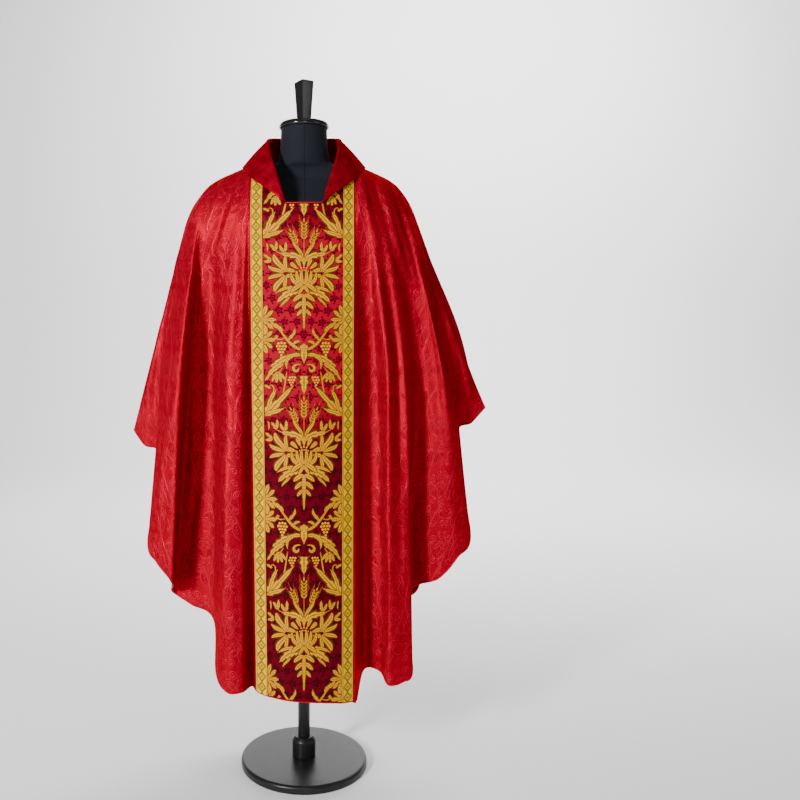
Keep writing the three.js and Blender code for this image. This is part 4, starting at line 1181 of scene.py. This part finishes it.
def gold_figures(side, first):
    """All repeats of the figures laid on one orphrey. Each figure's across and height pick a
    place on the band's grid, and its own rise is measured along the cloth's normal there."""
    kept = np.abs(side["top"]) <= BAND_EDGE + 1e-6
    top, points, normals = side["top"][kept], side["points"][kept], side["normals"][kept]
    level = side["uv"][kept][..., 1]
    face = points + normals * (LAID_GAP + TRIM_WALL)
    rows = np.linspace(level.min(), level.max(), FIGURE_ROWS)
    table = np.array([
        [np.interp(rows, column[::-1], layer[::-1, k]) for k in range(3) for layer in (face[i], normals[i])]
        for i, column in enumerate(level)
    ])
    high, low = level[:, 0] - TOP_MARGIN, level[:, -1] + HEM_MARGIN
    mirror = [(p * [-1, 1, 1], [f[::-1] for f in q], w) for p, q, w in HALF]
    pieces = []
    for k in FIGURE_REPEATS:
        middle = first - REPEAT * k
        for flat, faces, uv in MIDDLE + HALF + mirror:
            across = np.clip(flat[:, 0], -FIGURE_LIMIT, FIGURE_LIMIT)
            ceiling, ground = np.interp(across, top, high), np.interp(across, top, low)
            height = flat[:, 1] + middle
            lowest, highest = height.min() + LEAST_HEIGHT, height.max() - LEAST_HEIGHT
            if lowest > ceiling.min() or highest < ground.max():
                continue
            height = np.clip(height, ground, ceiling)
            i = np.interp(across, top, np.arange(len(top)))
            j = (height - rows[0]) / (rows[1] - rows[0])
            i0 = np.clip(i.astype(int), 0, len(top) - 2)
            j0 = np.clip(j.astype(int), 0, len(rows) - 2)
            a, b = (i - i0)[:, None], (j - j0)[:, None]
            found = (
                table[i0, :, j0] * (1 - a) * (1 - b) + table[i0 + 1, :, j0] * a * (1 - b)
                + table[i0, :, j0 + 1] * (1 - a) * b + table[i0 + 1, :, j0 + 1] * a * b
            )
            pieces.append((found[:, 0::2] + found[:, 1::2] * flat[:, 2:], faces, uv))
    return joined(pieces)


def joined(pieces):
    """Several (points, faces, uv) lists as one."""
    starts = np.cumsum([0] + [len(piece[0]) for piece in pieces]).tolist()
    faces = [[v + start for v in face] for piece, start in zip(pieces, starts) for face in piece[1]]
    return np.concatenate([p[0] for p in pieces]), faces, np.concatenate([p[2] for p in pieces])


gold = Finish(
    "brocaded_gold", Roughness=0.40, Metallic=0.08, Specular_IOR_Level=0.15,
    Specular_Tint=(1.0, 0.75, 0.30, 1),
)
VEIN_PITCH = 6.4 * MM
GOLD_WEAVE = 0.9 * MM
figure_side, figure_along, _ = gold.on_cloth()
figure_x, _, figure_z, figure_vector = gold.place()
gold_patch = gold.noise(figure_vector, 55)
outline = 1 - abs(figure_side).below(0.56, 0.16)
vein = abs(figure_side).below(0.11, 0.12)
side_vein = figure_along - abs(figure_side) * (4 * MM)
side_vein = abs(side_vein.part(VEIN_PITCH)).below(0.6 * MM, 0.8 * MM)
drawing = outline.most(vein * 0.85).most(side_vein * 0.6)
light_gold = gold.mix(gold_patch, (0.62, 0.250, 0.003), (0.86, 0.405, 0.009))
gold.feed("Base Color", gold.mix(drawing * 0.95, light_gold, (0.060, 0.008, 0.003)))
gold.feed("Roughness", gold_patch * 0.2 + 0.3)
weave_wave = 2 * math.pi / GOLD_WEAVE
gold_weave = (figure_z * weave_wave).sin() * (figure_x * weave_wave).sin()
gold.bump(gold_weave * 0.15 - drawing * 0.3, 0.0007, 0.6)
for name, side in SIDES:
    figures = gold_figures(side, BOUQUET_HEIGHT[name])
    add_piece(f"{name}_gold_figures", figures, gold, "brocade")


# Galloons
# Woven gold braid, 24 mm wide, sewn over both edges of each orphrey: a chain of diamonds with
# a bead in each, small leaves beside them, and a bright cord along both edges.

GALLOON_LIFT = 1.8 * MM
galloon = Finish(
    "gold_galloon", Roughness=0.38, Metallic=0.08, Specular_IOR_Level=0.15,
    Specular_Tint=(1.0, 0.80, 0.35, 1),
)
braid_u, braid_v, braid_vector = galloon.on_cloth()
DIAMOND_PITCH = 23 * MM
DIAMOND_HALF_WIDTH = 6.2 * MM
DIAMOND_HALF_HEIGHT = 9.5 * MM
ladder = braid_v.part(DIAMOND_PITCH)
half_step = (braid_v + DIAMOND_PITCH / 2).part(DIAMOND_PITCH)
diamond = abs(braid_u) * (1 / DIAMOND_HALF_WIDTH) + abs(ladder) * (1 / DIAMOND_HALF_HEIGHT)
diamond_line = abs(diamond - 1).below(0.16, 0.10)
inner_diamond = abs(diamond - 0.52).below(0.07, 0.08)
bead = (braid_u * braid_u + ladder * ladder).root().below(1.7 * MM, 0.8 * MM)
crossing = abs(abs(braid_u) - abs(half_step) * 0.78).below(0.75 * MM, 0.6 * MM)
crossing = crossing * (1 - (diamond - 0.9).below(0, 0.1)) * abs(braid_u).below(8.6 * MM, 0.8 * MM)
side_leaf = abs(abs(braid_u) - 6.4 * MM) * 1.6 + abs(abs(half_step) - 4.6 * MM)
side_leaf = side_leaf.below(2.3 * MM, 0.8 * MM)
edge_line = abs(abs(braid_u) - 8.9 * MM).below(0.45 * MM, 0.4 * MM)
edge_cord = (10.2 * MM - abs(braid_u)).below(0, 0.5 * MM)
olive = diamond_line.most(inner_diamond * 0.8).most(bead).most(crossing).most(edge_line)
gold_thread = (braid_v * (2 * math.pi / (0.8 * MM))).sin()
gold_cloud = galloon.noise(braid_vector, 60)
bright_gold = galloon.mix(gold_cloud, (0.72, 0.400, 0.004), (0.88, 0.500, 0.009))
pale_gold = galloon.mix(side_leaf * 0.8, bright_gold, (0.84, 0.54, 0.030))
braid_colour = galloon.mix(olive * 0.9, pale_gold, (0.105, 0.058, 0.003))
cord_colour = galloon.mix(gold_cloud, (0.62, 0.24, 0.012), (0.78, 0.36, 0.030))
galloon.feed("Base Color", galloon.mix(edge_cord, braid_colour, cord_colour))
galloon.feed("Roughness", olive * 0.25 + gold_cloud * 0.15 + 0.30)
galloon.bump(gold_thread * 0.12 - olive * 0.6 + edge_cord * 0.7 + side_leaf * 0.3, 0.0009, 0.8)


for name, side in SIDES:
    for hand, start, end in (("left", -BAND_EDGE, -GALLOON_INNER), ("right", GALLOON_INNER, BAND_EDGE)):
        braid = cloth_strip(side, start, end, GALLOON_LIFT, TRIM_WALL)
        add_piece(f"{name}_{hand}_braid", braid, galloon, "galloon", [f"{name}_galloon_{hand}"])


# Collar
# One piece of plainer mottled red silk sewn round the neckline. It stands up, rolls over and
# lies open in two wings in front and one deep point behind, with a stitched free edge.

COLLAR_WALL = 2 * MM
ROLL_RADIUS = 5 * MM
# From the front corner round to the centre back: the foot on the neckline, the roll at the
# top and the free edge, each as x, y and z.
COLLAR_HALF = np.array([
    [41, -129, 1308, 42, -131, 1313, 46, -133, 1309],
    [53, -112, 1342, 53, -114, 1354, 78, -118, 1335],
    [69, -84, 1379, 67, -84, 1402, 111, -95, 1359],
    [79, -54, 1402, 76, -52, 1438, 128, -69, 1376],
    [84, -27, 1414, 79, -25, 1459, 140, -32, 1392],
    [85, 4, 1418, 77, 4, 1468, 145, 4, 1398],
    [76, 32, 1420, 69, 30, 1473, 128, 56, 1390],
    [56, 54, 1421, 51, 50, 1476, 92, 98, 1367],
    [30, 69, 1422, 27, 62, 1478, 48, 122, 1335],
    [0, 74, 1422, 0, 66, 1479, 0, 136, 1301],
]) * MM
COLLAR_COLUMNS = 190
STAND_ROWS, ROLL_ROWS, FALL_ROWS = 10, 12, 26
BELLY_SHARE, BELLY_OUT, BELLY_UP = 0.45, 3 * MM, 2 * MM


def collar_surface():
    """Points [column, row] of the collar's outer face. Three smooth curves give the foot, the
    roll and the edge; between them each line rises straight, turns over in a half circle and
    falls in a shallow arc."""
    mirrored = COLLAR_HALF[-2::-1] * np.tile([-1, 1, 1], 3)
    rows = np.concatenate([COLLAR_HALF, mirrored])
    curves = between_rows(rows, np.linspace(0, len(rows) - 1, COLLAR_COLUMNS))
    foot, roll, edge = curves[:, None, :3], curves[:, None, 3:6], curves[:, None, 6:]
    outward = (edge - foot) * np.array([1, 1, 0])
    outward /= np.linalg.norm(outward, axis=-1, keepdims=True)
    reach = np.linalg.norm(roll - foot, axis=-1, keepdims=True)
    radius = np.minimum(ROLL_RADIUS, reach / 3)
    up = np.array([0, 0, 1.0])
    centre = roll + outward * radius - up * radius
    rise = np.linspace(0, 1, STAND_ROWS, endpoint=False)[None, :, None]
    stand = foot + (centre - outward * radius - foot) * rise
    turn = np.linspace(0, math.pi, ROLL_ROWS, endpoint=False)[None, :, None]
    over = centre + radius * (-outward * np.cos(turn) + up * np.sin(turn))
    drop = np.linspace(0, 1, FALL_ROWS)[None, :, None]
    fall_top = centre + outward * radius
    belly = fall_top * (1 - BELLY_SHARE) + edge * BELLY_SHARE + outward * BELLY_OUT + up * BELLY_UP
    fall = fall_top * (1 - drop) ** 2 + belly * 2 * drop * (1 - drop) + edge * drop**2
    return np.concatenate([stand, over, fall], 1)


collar_points = collar_surface()
collar_normals = grid_normals(collar_points)
steps_up = np.linalg.norm(np.diff(collar_points, axis=1), axis=-1)[:, ::-1]
from_edge = np.concatenate([np.zeros((COLLAR_COLUMNS, 1)), np.cumsum(steps_up, axis=1)], 1)[:, ::-1]
steps_along = np.linalg.norm(np.diff(collar_points[:, -1], axis=0), axis=-1)
along_edge = np.concatenate([[0], np.cumsum(steps_along)])[:, None]
collar_uv = np.stack(np.broadcast_arrays(along_edge, from_edge), -1)

collar_silk = Finish(
    "mottled_collar_silk", Roughness=0.45, Metallic=0.4, Specular_IOR_Level=0.0, Sheen_Weight=0.03,
    Sheen_Tint=SHEEN_TINT, Specular_Tint=SATIN_TINT,
)
STITCH_INSET = 4 * MM
STITCH_LENGTH = 3.2 * MM
collar_u, collar_v, collar_vector = collar_silk.on_cloth()
collar_grain = collar_silk.noise(collar_vector, 150)
collar_mottle = collar_silk.noise(collar_vector, 38, 4)
stitch_line = abs(collar_v - STITCH_INSET).below(0.5 * MM, 0.5 * MM)
stitches = stitch_line * (collar_u * (2 * math.pi / STITCH_LENGTH)).sin().below(0.35, 0.5)
dark_collar = collar_silk.mix(collar_grain, (0.17, 0.000, 0.007), (0.24, 0.000, 0.010))
light_collar = collar_silk.mix(collar_grain, (0.28, 0.000, 0.012), (0.36, 0.001, 0.017))
collar_mask = ((collar_mottle - 0.42) * 4).clipped()
collar_silk.feed("Base Color", collar_silk.mix(collar_mask, dark_collar, light_collar))
collar_silk.feed("Roughness", collar_grain * 0.2 + 0.38)
collar_weave = collar_grain * 0.35 + collar_mottle * 0.3
collar_silk.bump(collar_weave - stitch_line * 0.5 + stitches * 0.5, 0.0010, 0.6)
collar_wall = closed_wall(collar_points, collar_points - collar_normals * COLLAR_WALL, collar_uv)
add_piece("turned_collar", turned_outward(*collar_wall), collar_silk, "collar_cloth", ["collar"])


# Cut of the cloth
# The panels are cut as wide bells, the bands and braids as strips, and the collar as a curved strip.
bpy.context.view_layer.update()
